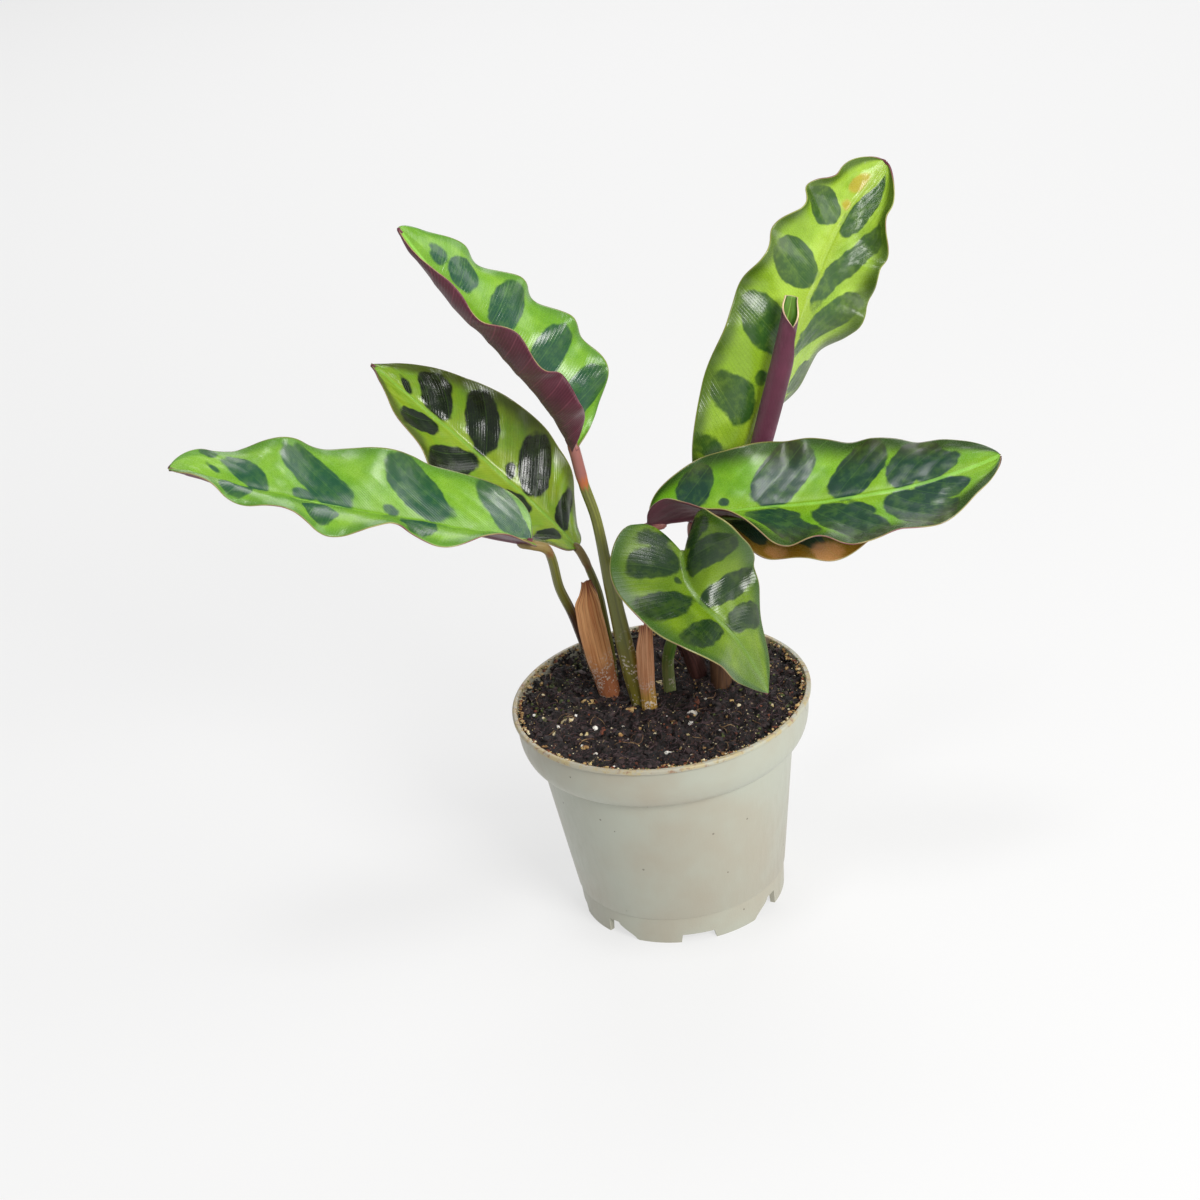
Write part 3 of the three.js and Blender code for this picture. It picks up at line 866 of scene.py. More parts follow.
def dress(
    mesh: bpy.types.Mesh, *materials: bpy.types.Material, sharp: Optional[float] = None
) -> bpy.types.Object:
    """Makes a smooth-shaded object of a mesh, with its materials in order.

    Args:
        mesh: The mesh, which gives the object its name.
        *materials: One for each slot.
        sharp: Edges bent by more than this many degrees are kept sharp.

    Returns:
        The object, at the origin.
    """
    for material in materials:
        mesh.materials.append(material)
    mesh.shade_smooth()
    if sharp is not None:
        mesh.set_sharp_from_angle(angle=math.radians(sharp))
    piece = bpy.data.objects.new(mesh.name, mesh)
    bpy.context.scene.collection.objects.link(piece)
    return piece


def thicken(piece: bpy.types.Object, thickness: Array) -> None:
    """Gives a sheet its thickness, away from its outer face.

    Its materials are those of the outer face, the inner face and the rim, in that order.

    Args:
        piece: The sheet.
        thickness: Thickness in millimetres at each point.
    """
    thickest = float(thickness.max())
    weights = piece.vertex_groups.new(name="thickness")
    for index, share in enumerate(thickness / thickest):
        weights.add([index], float(share), "REPLACE")
    solid = piece.modifiers.new("Thickness", "SOLIDIFY")
    solid.thickness = thickest * MM
    solid.offset = -1
    solid.vertex_group = weights.name
    solid.thickness_vertex_group = 0
    solid.material_offset = 1
    solid.material_offset_rim = 2


def stand(piece: bpy.types.Object, node: Optional[str] = None) -> bpy.types.Object:
    """Declares a finished piece to the frame and reports it.

    Args:
        piece: The finished object.
        node: The solid that it stands for, if it replaces one.

    Returns:
        The same object.
    """
    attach(piece, "root")
    if node:
        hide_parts(node)
    LOG.info("%s: %d faces before modifiers", piece.name, len(piece.data.polygons))
    return piece


@dataclass(frozen=True)
class Half:
    """One half of a blade, beside the midrib.

    Fold lifts it and curl bends it further towards the margin, from base to tip. The margin has so many
    waves, which start at phase. Rise is how far a side vein climbs from midrib to margin, as a share of
    the blade's length.
    """

    fold: tuple[float, ...]
    curl: tuple[float, ...]
    waves: float
    phase: float
    rise: float


@dataclass(frozen=True)
class Blotch:
    """A dark blotch from its inner end, by the midrib, to its outer end, and its width in millimetres."""

    u0: float
    t0: float
    u1: float
    t1: float
    width: float


@dataclass(frozen=True)
class Spot:
    """A discoloured place on a blade and its radius in millimetres."""

    u: float
    t: float
    radius: float


@dataclass
class Leaf:
    """One open leaf: its blade, laid out along a midrib, and what marks it."""

    name: str
    slot: str
    midrib: tuple[Point, Point, Point, Point]
    half_width: float
    belly: float
    base_round: float
    tip_round: float
    twist: tuple[float, ...]
    right: Half
    left: Half
    ripple: float
    finish: LeafFinish
    blotches: tuple[Blotch, ...] = ()
    spots: tuple[Spot, ...] = ()
    lobe: float = 0.0
    base_width: float = 0.0
    pleat: float = 0.1
    vein_pitch: float = 4.4
    narrowest: float = 0.25
    rows: int = 210
    columns: int = 64
    blade: float = 0.34
    keel: float = 0.95
    edge: float = 0.2

    def length(self) -> float:
        """Length of the midrib."""
        points = self.rib(np.linspace(0, 1, RIB_STEPS))
        return float(np.linalg.norm(np.diff(points, axis=0), axis=1).sum())

    def rib(self, t: Array) -> Array:
        """Points of the midrib's Bezier curve.

        Args:
            t: Shares of the way along the midrib.

        Returns:
            One point for each share.
        """
        a, b, c, d = (np.array(p, float) for p in self.midrib)
        t = t[:, None]
        s = 1 - t
        return s**3 * a + 3 * s**2 * t * b + 3 * s * t**2 * c + t**3 * d

    def axes(self, t: Array) -> tuple[Array, Array, Array]:
        """Tangent, upward normal and right-hand side along the midrib, turned by the twist.

        Args:
            t: Shares of the way along the midrib.

        Returns:
            The three directions at each share.
        """
        a, b, c, d = (np.array(p, float) for p in self.midrib)
        s = (1 - t)[:, None]
        r = t[:, None]
        tangent = unit(3 * s**2 * (b - a) + 6 * s * r * (c - b) + 3 * r**2 * (d - c))
        up = unit(np.array([0, 0, 1.0]) - tangent[:, 2:3] * tangent)
        right = np.cross(tangent, up)
        turn = np.radians(along(self.twist, t))[:, None]
        return tangent, up * np.cos(turn) + right * np.sin(turn), right * np.cos(turn) - up * np.sin(turn)

    def outline(self, t: Array) -> Array:
        """Half width of the blade in millimetres.

        Args:
            t: Shares of the way along the midrib.

        Returns:
            The half width at each share.
        """
        low = np.clip(1 - (1 - t / self.belly) ** 2, 0, 1) ** self.base_round
        low = self.base_width + (1 - self.base_width) * low
        high = np.clip(1 - ((t - self.belly) / (1 - self.belly)) ** 2, 0, 1) ** self.tip_round
        return np.maximum(self.half_width * np.where(t < self.belly, low, high), self.narrowest)

    def by_half(self, u: Array, pick: Callable[[Half], Array]) -> Array:
        """Reads the right half's value where u is positive and the left half's elsewhere."""
        return np.where(u >= 0, pick(self.right), pick(self.left))

    def surface(self, t: Array, u: Array) -> Array:
        """Middle surface of the blade, before its relief.

        Args:
            t: Places from base to tip, 0 to 1.
            u: Places from the left margin, -1, to the right, 1.

        Returns:
            Rows of x, y, z in millimetres.
        """
        tangent, normal, side = self.axes(t)
        out = np.abs(u)
        fold = np.radians(self.by_half(u, lambda half: along(half.fold, t)))
        curl = np.radians(self.by_half(u, lambda half: along(half.curl, t)))
        curl = np.where(np.abs(curl) < 1e-4, 1e-4, curl)
        lean = fold + curl * out
        wave = self.by_half(u, lambda half: np.sin(2 * np.pi * (half.waves * t + half.phase)))
        calm = np.clip(np.sin(np.pi * t**0.8), 0, 1) ** 0.5
        lift = self.ripple * calm * out**2.5 * wave
        width = self.outline(t)
        across = width * (np.sin(lean) - np.sin(fold)) / curl - lift * np.sin(lean)
        above = width * (np.cos(fold) - np.cos(lean)) / curl + lift * np.cos(lean)
        back = self.lobe * np.sin(np.pi / 2 * out) * (1 - t) ** 3
        points = self.rib(t) + side * (np.sign(u) * across)[:, None]
        return points + normal * above[:, None] - tangent * back[:, None]

    def vein_count(self, t: Array, u: Array) -> Array:
        """Counts the side veins along the blade, following each as it climbs towards the margin."""
        rise = self.by_half(u, lambda half: np.full_like(t, half.rise))
        climb = rise * (0.8 * np.abs(u) + 0.2 * np.abs(u) ** 2)
        return (t - climb) * self.length() / self.vein_pitch + np.where(u >= 0, 100.0, 100.45)

    def relief(self, t: Array, u: Array) -> Array:
        """Height above the middle surface: pillows between side veins, the midrib and slight dents.

        Args:
            t: Shares of the way along the midrib.
            u: Shares of the way across, from -1 to 1.

        Returns:
            The height in millimetres.
        """
        out = np.abs(u)
        count = self.vein_count(t, u)
        pillow = np.abs(np.sin(np.pi * count)) ** 0.8 - 0.6
        fade = smooth(out, 0.03, 0.2) * (1 - smooth(out, 0.8, 1.0)) * smooth(t, 0, 0.1)
        from_rib = out * self.outline(t)
        groove = -0.22 * np.exp(-((from_rib / 1.1) ** 2)) + 0.34 * np.exp(-((from_rib / 0.34) ** 2))
        flat = np.stack([u * self.half_width, t * self.length(), np.zeros_like(t)], axis=1)
        dents = 0.3 * wander(flat, 6.5, self.half_width) + 0.08 * wander(flat, 2.4, self.belly)
        flutter = 0.5 * wander(flat * [0.3, 1, 1], 5.0, self.tip_round + len(self.name)) * out**3
        dents = (dents + flutter) * smooth(t, 0, 0.1) * (1 - smooth(t, 0.94, 1.0))
        return self.pleat * pillow * fade + groove * (1 - smooth(t, 0.75, 1.0)) + dents

    def marking(self, t: Array, u: Array) -> Array:
        """Distance inside the nearest blotch, in millimetres, or minus the distance outside it.

        Args:
            t: Shares of the way along the midrib.
            u: Shares of the way across, from -1 to 1.

        Returns:
            The distance.
        """
        best = np.full_like(t, FAR_FROM_BLOTCH)
        place = np.stack([u * self.half_width, t * self.length()], axis=1)
        for mark in self.blotches:
            start = np.array([mark.u0 * self.half_width, mark.t0 * self.length()])
            end = np.array([mark.u1 * self.half_width, mark.t1 * self.length()])
            reach = np.linalg.norm(end - start) / 2
            axis = (end - start) / (2 * reach)
            away = place - (start + end) / 2
            lengthwise = away @ axis / reach
            crosswise = away @ np.array([-axis[1], axis[0]]) / (mark.width / 2)
            rounded = (np.abs(lengthwise) ** 2.3 + np.abs(crosswise) ** 2.3) ** (1 / 2.3)
            best = np.maximum(best, (1 - rounded) * mark.width / 2)
        flat = np.stack([place[:, 0], place[:, 1], np.full_like(t, self.belly)], axis=1)
        return best + 0.55 * wander(flat, 4.2, self.half_width) + 0.25 * wander(flat, 1.7, self.length())

    def spotting(self, t: Array, u: Array) -> Array:
        """Distance inside the nearest discoloured place, in millimetres, or minus that outside it.

        Args:
            t: Shares of the way along the midrib.
            u: Shares of the way across, from -1 to 1.

        Returns:
            The distance.
        """
        best = np.full_like(t, FAR_FROM_SPOT)
        for spot in self.spots:
            away = np.hypot((u - spot.u) * self.half_width, (t - spot.t) * self.length())
            best = np.maximum(best, spot.radius - away)
        return best

    def build(self) -> bpy.types.Object:
        """Builds and dresses the blade.

        Returns:
            The blade.
        """
        sheet = Sheet(f"leaf_{self.name}", self.columns, self.rows)
        u = sheet.u
        t = 0.45 * sheet.t + 0.55 * (0.5 - 0.5 * np.cos(np.pi * sheet.t))
        near = 0.004
        before, after = np.clip(t - near, 0.001, 0.999), np.clip(t + near, 0.001, 0.999)
        inner, outer = np.clip(u - near, -1, 1), np.clip(u + near, -1, 1)
        crosswise = self.surface(t, outer) - self.surface(t, inner)
        lengthwise = self.surface(after, u) - self.surface(before, u)
        normal = unit(np.cross(crosswise, lengthwise))
        sheet.carry("vein", self.vein_count(t, u))
        sheet.carry("blotch", self.marking(t, u))
        sheet.carry("spot", self.spotting(t, u))
        from_rib = np.abs(u) * self.outline(t)
        sheet.carry("from_rib", from_rib)
        raised = self.relief(t, u) + self.blade / 2
        sheet.warp(self.surface(t, u) + normal * raised[:, None])
        piece = dress(
            sheet.mesh, self.finish.upper(f"leaf_{self.name}_upper"),
            self.finish.underside(f"leaf_{self.name}_under"), self.finish.edge(f"leaf_{self.name}_rim"),
        )
        body = self.blade + (self.keel - self.blade) * np.exp(-((from_rib / 0.55) ** 2)) * (1 - t) ** 0.7
        thicken(piece, np.where(np.abs(u) > 0.97, self.edge, body))
        return stand(piece, f"blade_{self.name}")


class Route:
    """A smooth line through given points, read by the share of its length."""

    def __init__(self, points: tuple[Point, ...]) -> None:
        """Fits a centripetal Catmull-Rom curve through the points.

        Args:
            points: The points, from first to last.
        """
        knots = [np.array(p, float) for p in points]
        knots = [2 * knots[0] - knots[1], *knots, 2 * knots[-1] - knots[-2]]
        line = [self._piece(knots[i : i + 4], np.linspace(0, 1, ROUTE_STEPS)) for i in range(len(knots) - 3)]
        self.line = np.concatenate(line)
        runs = np.linalg.norm(np.diff(self.line, axis=0), axis=1)
        self.runs = np.concatenate([[0], np.cumsum(runs)])
        self.length = float(self.runs[-1])

    @staticmethod
    def _piece(knots: list[Array], share: Array) -> Array:
        """Points between the second and the third of four knots.

        Args:
            knots: The four knots.
            share: Shares of the way between the two.

        Returns:
            One point for each share.
        """
        p0, p1, p2, p3 = knots
        t0 = 0.0
        t1 = t0 + np.linalg.norm(p1 - p0) ** 0.5
        t2 = t1 + np.linalg.norm(p2 - p1) ** 0.5
        t3 = t2 + np.linalg.norm(p3 - p2) ** 0.5
        t = (t1 + share * (t2 - t1))[:, None]
        a1 = (t1 - t) / (t1 - t0) * p0 + (t - t0) / (t1 - t0) * p1
        a2 = (t2 - t) / (t2 - t1) * p1 + (t - t1) / (t2 - t1) * p2
        a3 = (t3 - t) / (t3 - t2) * p2 + (t - t2) / (t3 - t2) * p3
        b1 = (t2 - t) / (t2 - t0) * a1 + (t - t0) / (t2 - t0) * a2
        b2 = (t3 - t) / (t3 - t1) * a2 + (t - t1) / (t3 - t1) * a3
        return (t2 - t) / (t2 - t1) * b1 + (t - t1) / (t2 - t1) * b2

    def at(self, share: Array) -> Array:
        """Points at shares of the length."""
        run = np.clip(share, 0, 1) * self.length
        return np.stack([np.interp(run, self.runs, self.line[:, k]) for k in range(3)], axis=1)

    def heading(self, share: Array) -> Array:
        """Unit tangents at shares of the length."""
        near = 0.5 / self.length
        return unit(self.at(np.clip(share + near, 0, 1)) - self.at(np.clip(share - near, 0, 1)))

    def around(self, share: Array, facing: float, angle: Array) -> Array:
        """Directions square to the line, turned by angle from a compass facing.

        Args:
            share: Places along the line.
            facing: Degrees from +X towards +Y.
            angle: Turn about the line, in radians.

        Returns:
            Unit vectors.
        """
        tangent = self.heading(share)
        front = np.array([math.cos(math.radians(facing)), math.sin(math.radians(facing)), 0])
        front = unit(front - dot(tangent, front[None]) * tangent)
        side = np.cross(tangent, front)
        return front * np.cos(angle)[:, None] + side * np.sin(angle)[:, None]


@dataclass
class Stalk:
    """A ribbed stalk from its buried foot to the blade, thickened in a pulvinus at its top."""

    name: str
    route: tuple[Point, ...]
    radii: tuple[float, ...]
    finish: StalkFinish = StalkFinish()
    slot: str = "stalk"
    ribs: int = 9
    rib_depth: float = 0.06
    swelling: float = 0.16
    wing: float = 0.0
    wing_top: float = 0.7
    wing_facing: float = 0.0
    columns: int = 36
    rows: int = 90

    def radius(self, share: Array, angle: Array) -> Array:
        """Radius in millimetres, with the ribs, the pulvinus and any wing of the leaf sheath.

        Args:
            share: Shares of the way up.
            angle: Angles round the stalk, in radians.

        Returns:
            The radius at each place.
        """
        ring = self.finish.pulvinus_share
        swollen = smooth(share, ring - 0.01, ring + 0.03) * self.swelling
        ribs = self.rib_depth * np.cos(self.ribs * angle) * (1 - smooth(share, ring - 0.02, ring))
        toward = np.cos(angle - math.radians(self.wing_facing))
        below_top = 1 - smooth(share, self.wing_top - 0.05, self.wing_top)
        wing = self.wing * np.clip(toward, 0, 1) ** 4 * below_top
        return along(self.radii, share) * (1 + swollen) + ribs + wing

    def build(self) -> bpy.types.Object:
        """Builds and dresses the stalk.

        Returns:
            The stalk.
        """
        sheet = Sheet(f"stem_{self.name}", self.columns, self.rows)
        line = Route(self.route)
        angle = sheet.u * np.pi
        out = line.around(sheet.t, -90.0, angle)
        points = line.at(sheet.t)
        uneven = 0.05 * wander(points, 7.0, self.radii[0])
        radius = self.radius(sheet.t, angle) + uneven
        closing = 1 - 0.5 * smooth(sheet.t, 0.985, 1.0)
        sheet.warp(points + out * (radius * closing)[:, None])
        sheet.close()
        piece = dress(sheet.mesh, self.finish.material(f"stem_{self.name}"))
        return stand(piece, f"stalk_{self.name}")


@dataclass
class Roll:
    """A sheet rolled about a line: a furled leaf or an old leaf's dry sheath.

    Its middle faces a direction, counted from +X towards +Y, and its half turn is given from the foot to
    the top. Pitch is what the radius gains over the half turn, and tear is how deeply its top is torn.
    """

    name: str
    node: str
    slot: str
    route: tuple[Point, ...]
    radii: tuple[float, ...]
    facing: float
    half_turn: tuple[float, ...]
    outer: bpy.types.Material
    inner: bpy.types.Material
    rim: bpy.types.Material
    pitch: float = 0.0
    tear: float = 0.0
    wrinkles: float = 0.1
    wrinkle_count: float = 7.0
    thickness: float = 0.4
    columns: int = 72
    rows: int = 90

    def build(self) -> bpy.types.Object:
        """Builds and dresses the roll.

        Returns:
            The rolled sheet.
        """
        sheet = Sheet(self.name, self.columns, self.rows)
        line = Route(self.route)
        u = sheet.u
        edge = np.stack([u * 9, np.full_like(u, len(self.name)), np.zeros_like(u)], axis=1)
        cut = 1 - self.tear * (0.5 + 0.5 * wander(edge, 1.0, self.radii[0])) * np.abs(u) ** 0.5
        t = sheet.t * cut
        angle = np.radians(along(self.half_turn, sheet.t)) * u
        out = line.around(t, self.facing, angle)
        around = np.stack([u * self.wrinkle_count, t * 3, np.zeros_like(u)], axis=1)
        wrinkle = self.wrinkles * (wander(around, 1.0, self.facing) + 0.5 * wander(around, 0.45, 1.0))
        radius = along(self.radii, t) + self.pitch * u + wrinkle + self.thickness / 2
        sheet.carry("vein", 40 * t + 14 * np.abs(u))
        sheet.carry("from_rib", np.abs(u) * 8)
        sheet.carry("blotch", np.full_like(u, FAR_FROM_BLOTCH))
        sheet.carry("spot", np.full_like(u, FAR_FROM_SPOT))
        sheet.warp(line.at(t) + out * radius[:, None])
        if self.faces_inward(sheet, line, t):
            sheet.mesh.flip_normals()
        piece = dress(sheet.mesh, self.outer, self.inner, self.rim)
        thicken(piece, np.full_like(u, self.thickness))
        return stand(piece, self.node)

    @staticmethod
    def faces_inward(sheet: Sheet, line: Route, t: Array) -> bool:
        """Tells whether the sheet's faces look towards its line.

        Args:
            sheet: The warped sheet.
            line: The line that it is rolled round.
            t: Shares along it of the points.

        Returns:
            Whether they do.
        """
        face = sheet.mesh.polygons[len(sheet.mesh.polygons) // 2]
        corner = face.vertices[0]
        centre = line.at(t[corner : corner + 1])[0] * MM + np.array(AXIS)
        return float(np.dot(np.array(face.normal), np.array(face.center) - centre)) < 0


@dataclass
class Pot:
    """Tapered nursery pot: band and rim, fine ledge, notched foot and a floor with four drain holes."""

    rim_radius: float = 30.0
    height: float = 46.0
    rounding: float = 0.4
    soft: float = 0.12
    round_steps: int = 5
    lip: float = 1.0
    band: float = 10.0
    band_radius: float = 29.2
    band_width: float = 3.0
    band_curve: float = 6.0
    band_steps: int = 16
    wall_top: float = 25.7
    ledge: float = 6.0
    ledge_radius: float = 21.4
    ledge_step: float = 0.3
    foot_radius: float = 20.7
    wall: float = 1.0
    floor_bottom: float = 4.4
    floor_top: float = 5.6
    foot_turn: float = 5.0
    shallow_width: float = 6.6
    shallow_height: float = 1.8
    deep_foot: float = 6.6
    deep_top: float = 2.6
    deep_height: float = 3.3
    drain_radius: float = 2.6
    drain_place: float = 15.5
    drain_sides: int = 48
    drill_length: float = 4.0
    segments: int = 360
    finish: PotFinish = PotFinish()

    def rounded_band(self, inset: float, steps: int) -> list[tuple[float, float]]:
        """Lower part of the band, from the wall up, drawn in by an inset.

        Args:
            inset: Distance inside the outer face.
            steps: How many faces make the curve.

        Returns:
            Radius and height of each point.
        """
        turns = [math.pi / 2 * step / steps for step in range(steps + 1)]
        width, rise = self.band_width - inset, self.band_curve - inset
        foot, radius = self.height - self.band + inset, self.band_radius - inset
        return [(radius - width * (1 - math.sin(a)), foot + rise * (1 - math.cos(a))) for a in turns]

    def profile(self) -> list[tuple[float, float]]:
        """Radius and height of each turned point, from the floor's underside round to its top.

        Returns:
            The points in order.
        """
        rim, top, curve = self.rim_radius, self.height, self.rounding
        band_foot, soft = top - self.band, self.soft
        quarter = [math.pi / 2 * step / self.round_steps for step in range(self.round_steps + 1)]
        outside = [(rim - curve + curve * math.cos(a), top - curve + curve * math.sin(a)) for a in quarter]
        inside = [(1 - math.sin(a), 1 - math.cos(a)) for a in quarter]
        return [
            (0, self.floor_bottom),
            (self.foot_radius - self.wall, self.floor_bottom),
            (self.foot_radius - self.wall, 0),
            (self.foot_radius, 0),
            (self.ledge_radius - self.ledge_step, self.ledge),
            (self.ledge_radius - soft / 2, self.ledge + 0.02),
            (self.ledge_radius, self.ledge + soft),
            (self.wall_top, band_foot),
            *self.rounded_band(0, self.band_steps),
            (self.band_radius, top - self.lip - soft),
            (self.band_radius + soft, top - self.lip),
            (rim - 2 * soft, top - self.lip),
            (rim, top - self.lip + 2 * soft),
            *outside,
            *[(rim - self.wall + 2 * soft * x, top - 2 * soft * y) for x, y in inside],
            *reversed(self.rounded_band(self.wall, self.band_steps // 2)),
            (self.wall_top - self.wall, band_foot),
            (self.ledge_radius - self.wall, self.floor_top),
            (0, self.floor_top),
        ]

    def notch(self, angle: float) -> float:
        """Height that the foot's edge is raised to, at an angle from the front towards +X.

        Args:
            angle: The angle in degrees.

        Returns:
            The height in millimetres.
        """
        local = (angle - self.foot_turn) % 90
        quarter = int(((angle - self.foot_turn) % 360) // 90)
        run = math.radians(min(local, 90 - local)) * self.foot_radius
        if run < self.shallow_width / 2:
            return self.shallow_height
        lean = -1 if quarter % 2 == 0 else 1
        across = lean * math.radians(local - 45) * self.foot_radius
        if abs(across) > self.deep_foot / 2:
            return 0.0
        slope = (self.deep_foot / 2 - across) / (self.deep_foot - self.deep_top)
        if slope >= 1:
            return self.deep_height
        # The inverse of a smooth step rounds both ends of the slanting side.
        return self.deep_height * (0.5 - math.sin(math.asin(1 - 2 * max(slope, 0.0)) / 3))

    def build(self) -> bpy.types.Object:
        """Turns the profile, notches the foot, drills the drains and dresses the pot.

        Returns:
            The pot.
        """
        work = bmesh.new()
        rail = [work.verts.new((r * MM, 0, z * MM)) for r, z in self.profile()]
        edges = [work.edges.new(pair) for pair in zip(rail, rail[1:])]
        bmesh.ops.spin(
            work, geom=[*rail, *edges], axis=(0, 0, 1), cent=(0, 0, 0), angle=math.tau,
            steps=self.segments, use_merge=True,
        )
        bmesh.ops.remove_doubles(work, verts=work.verts, dist=SEAM)
        slope = (self.ledge_radius - self.ledge_step - self.foot_radius) / self.ledge
        for vert in work.verts:
            if vert.co.z > AT_FOOT:
                continue
            rise = self.notch(math.degrees(math.atan2(vert.co.x, -vert.co.y)))
            radius = vert.co.xy.length / MM
            grown = radius + rise * slope if radius > self.foot_radius - self.wall / 2 else radius
            vert.co.xy *= grown / radius
            vert.co.z = rise * MM
        bmesh.ops.recalc_face_normals(work, faces=work.faces)
        mesh = bpy.data.meshes.new("nursery_pot")
        bmesh.ops.translate(work, verts=work.verts, vec=AXIS)
        work.to_mesh(mesh)
        work.free()
        piece = dress(mesh, self.finish.material("pot_plastic"), sharp=28)
        self.drill(piece)
        return stand(piece, "pot")

    def drill(self, piece: bpy.types.Object) -> None:
        """Cuts the drain holes through the floor of the pot.

        Args:
            piece: The pot, which is given its new mesh.
        """
        work = bmesh.new()
        for quarter in range(4):
            turn = math.radians(self.foot_turn + 45 + 90 * quarter)
            x, y = self.drain_place * math.sin(turn), -self.drain_place * math.cos(turn)
            spot = Vector((x, y, self.floor_top))
            bmesh.ops.create_cone(
                work, cap_ends=True, segments=self.drain_sides, radius1=self.drain_radius * MM,
                radius2=self.drain_radius * MM, depth=self.drill_length * MM,
                matrix=Matrix.Translation(spot * MM + AXIS),
            )
        mesh = bpy.data.meshes.new("drills")
        work.to_mesh(mesh)
        work.free()
        drills = bpy.data.objects.new("drills", mesh)
        bpy.context.scene.collection.objects.link(drills)
        cut = piece.modifiers.new("Drains", "BOOLEAN")
        cut.operation = "DIFFERENCE"
        cut.solver = "EXACT"
        cut.object = drills
        graph = bpy.context.evaluated_depsgraph_get()
        drilled = bpy.data.meshes.new_from_object(piece.evaluated_get(graph))
        piece.modifiers.clear()
        drilled.name = piece.data.name + "_drilled"
        piece.data = drilled
        bpy.data.objects.remove(drills)


@dataclass
class Soil:
    """Block of moist peat in the pot: a lumpy, crumbly surface over plain sides.

    Hollow is the middle, depth and spread of its dip. A lump has a size, a height and a turn, and a swell
    or a crumb a height, a size and a seed.
    """

    level: float = 44.8
    hollow: tuple[float, float, float, float] = (1.0, 3.0, 1.4, 16.0)
    lumps: tuple[Point, ...] = ((7.5, 0.45, 20), (5.2, 0.35, 75), (3.9, 0.25, 130))
    swells: tuple[Point, ...] = ((0.45, 3.2, 1), (0.3, 1.3, 2), (0.16, 0.6, 3))
    crumbs: tuple[Point, ...] = ((0.9, 2.4, 4), (0.7, 1.2, 5), (0.45, 0.7, 6))
    crumb_base: float = 0.8
    rim_dip: float = 0.2
    edge: float = 28.2
    floor: float = 5.9
    wall: tuple[tuple[float, float], ...] = (
        (27.9, 42.3), (27.3, 38.8), (25.9, 37.3), (24.4, 36.3), (20.1, 5.9)
    )
    columns: int = 540
    rows: int = 140
    top_share: float = 0.93
    finish: PeatFinish = PeatFinish()

    def height(self, x: Array, y: Array) -> Array:
        """Broad shape of the surface, as the solid has it.

        Args:
            x: Distances to the right of the axis.
            y: Distances behind it.

        Returns:
            The height in millimetres.
        """
        centre_x, centre_y, depth, spread = self.hollow
        away = np.hypot(x - centre_x, y - centre_y) / spread
        height = self.level - depth * np.exp(-(away**2))
        for size, lift, turn in self.lumps:
            cos, sin = math.cos(math.radians(turn)), math.sin(math.radians(turn))
            p, q = (x * cos + y * sin) / size, (y * cos - x * sin) / size
            height = height + lift * np.sin(2 * np.pi * p) * np.sin(2 * np.pi * q + turn)
        return height

    def surface_height(self, x: float, y: float) -> float:
        """Height of the broad surface at one place."""
        return float(self.height(np.array([x]), np.array([y]))[0])

    def build(self) -> bpy.types.Object:
        """Builds and dresses the block of peat.

        Returns:
            The peat.
        """
        sheet = Sheet("peat_block", self.columns, self.rows)
        angle = -sheet.u * np.pi
        on_top = sheet.t <= self.top_share
        share = np.clip(sheet.t / self.top_share, 0, 1)
        radius = self.edge * share
        down = np.clip((sheet.t - self.top_share) / (1 - self.top_share), 0, 1)
        sides = [(self.edge, self.level - 0.8), *self.wall, (0.0, self.floor)]
        stops = np.linspace(0, 1, len(sides))
        radius = np.where(on_top, radius, np.interp(down, stops, [p[0] for p in sides]))
        x, y = radius * np.cos(angle), radius * np.sin(angle)
        flat = np.stack([x, y, np.zeros_like(x)], axis=1)
        rough = sum(height * wander(flat, size, seed) for height, size, seed in self.swells)
        crumbs = sum(height * crumble(flat, size, seed) for height, size, seed in self.crumbs)
        dip = -self.rim_dip * smooth(radius, self.edge - 1.2, self.edge)
        z_top = self.height(x, y) + rough + (crumbs - self.crumb_base) + dip
        z = np.where(on_top, z_top, np.interp(down, stops, [p[1] for p in sides]))
        sheet.warp(np.stack([x, y, z], axis=1))
        sheet.close(caps=False)
        piece = dress(sheet.mesh, self.finish.material("peat"))
        return stand(piece, "soil")


class GrainKind(Enum):
    """Kinds of loose grain on the soil and round the rim."""

    PEAT = "peat"
    RUSTY = "rusty"
    TAN = "tan"
    CREAM = "cream"
    PERLITE = "perlite"
    MOSS = "moss"


GRAIN_FINISHES: dict[GrainKind, GrainFinish] = {
    GrainKind.PEAT: GrainFinish(paint(20, 16, 17), paint(60, 44, 44), 0.7),
    GrainKind.RUSTY: GrainFinish(paint(122, 66, 40), paint(84, 48, 40), 0.8),
    GrainKind.TAN: GrainFinish(paint(190, 160, 104), paint(150, 112, 66), 0.8),
    GrainKind.CREAM: GrainFinish(paint(226, 214, 178), paint(196, 176, 120), 0.75),
    GrainKind.PERLITE: GrainFinish(paint(240, 238, 230), paint(214, 208, 196), 0.7),
    GrainKind.MOSS: GrainFinish(paint(84, 94, 38), paint(46, 58, 24), 0.7),
}


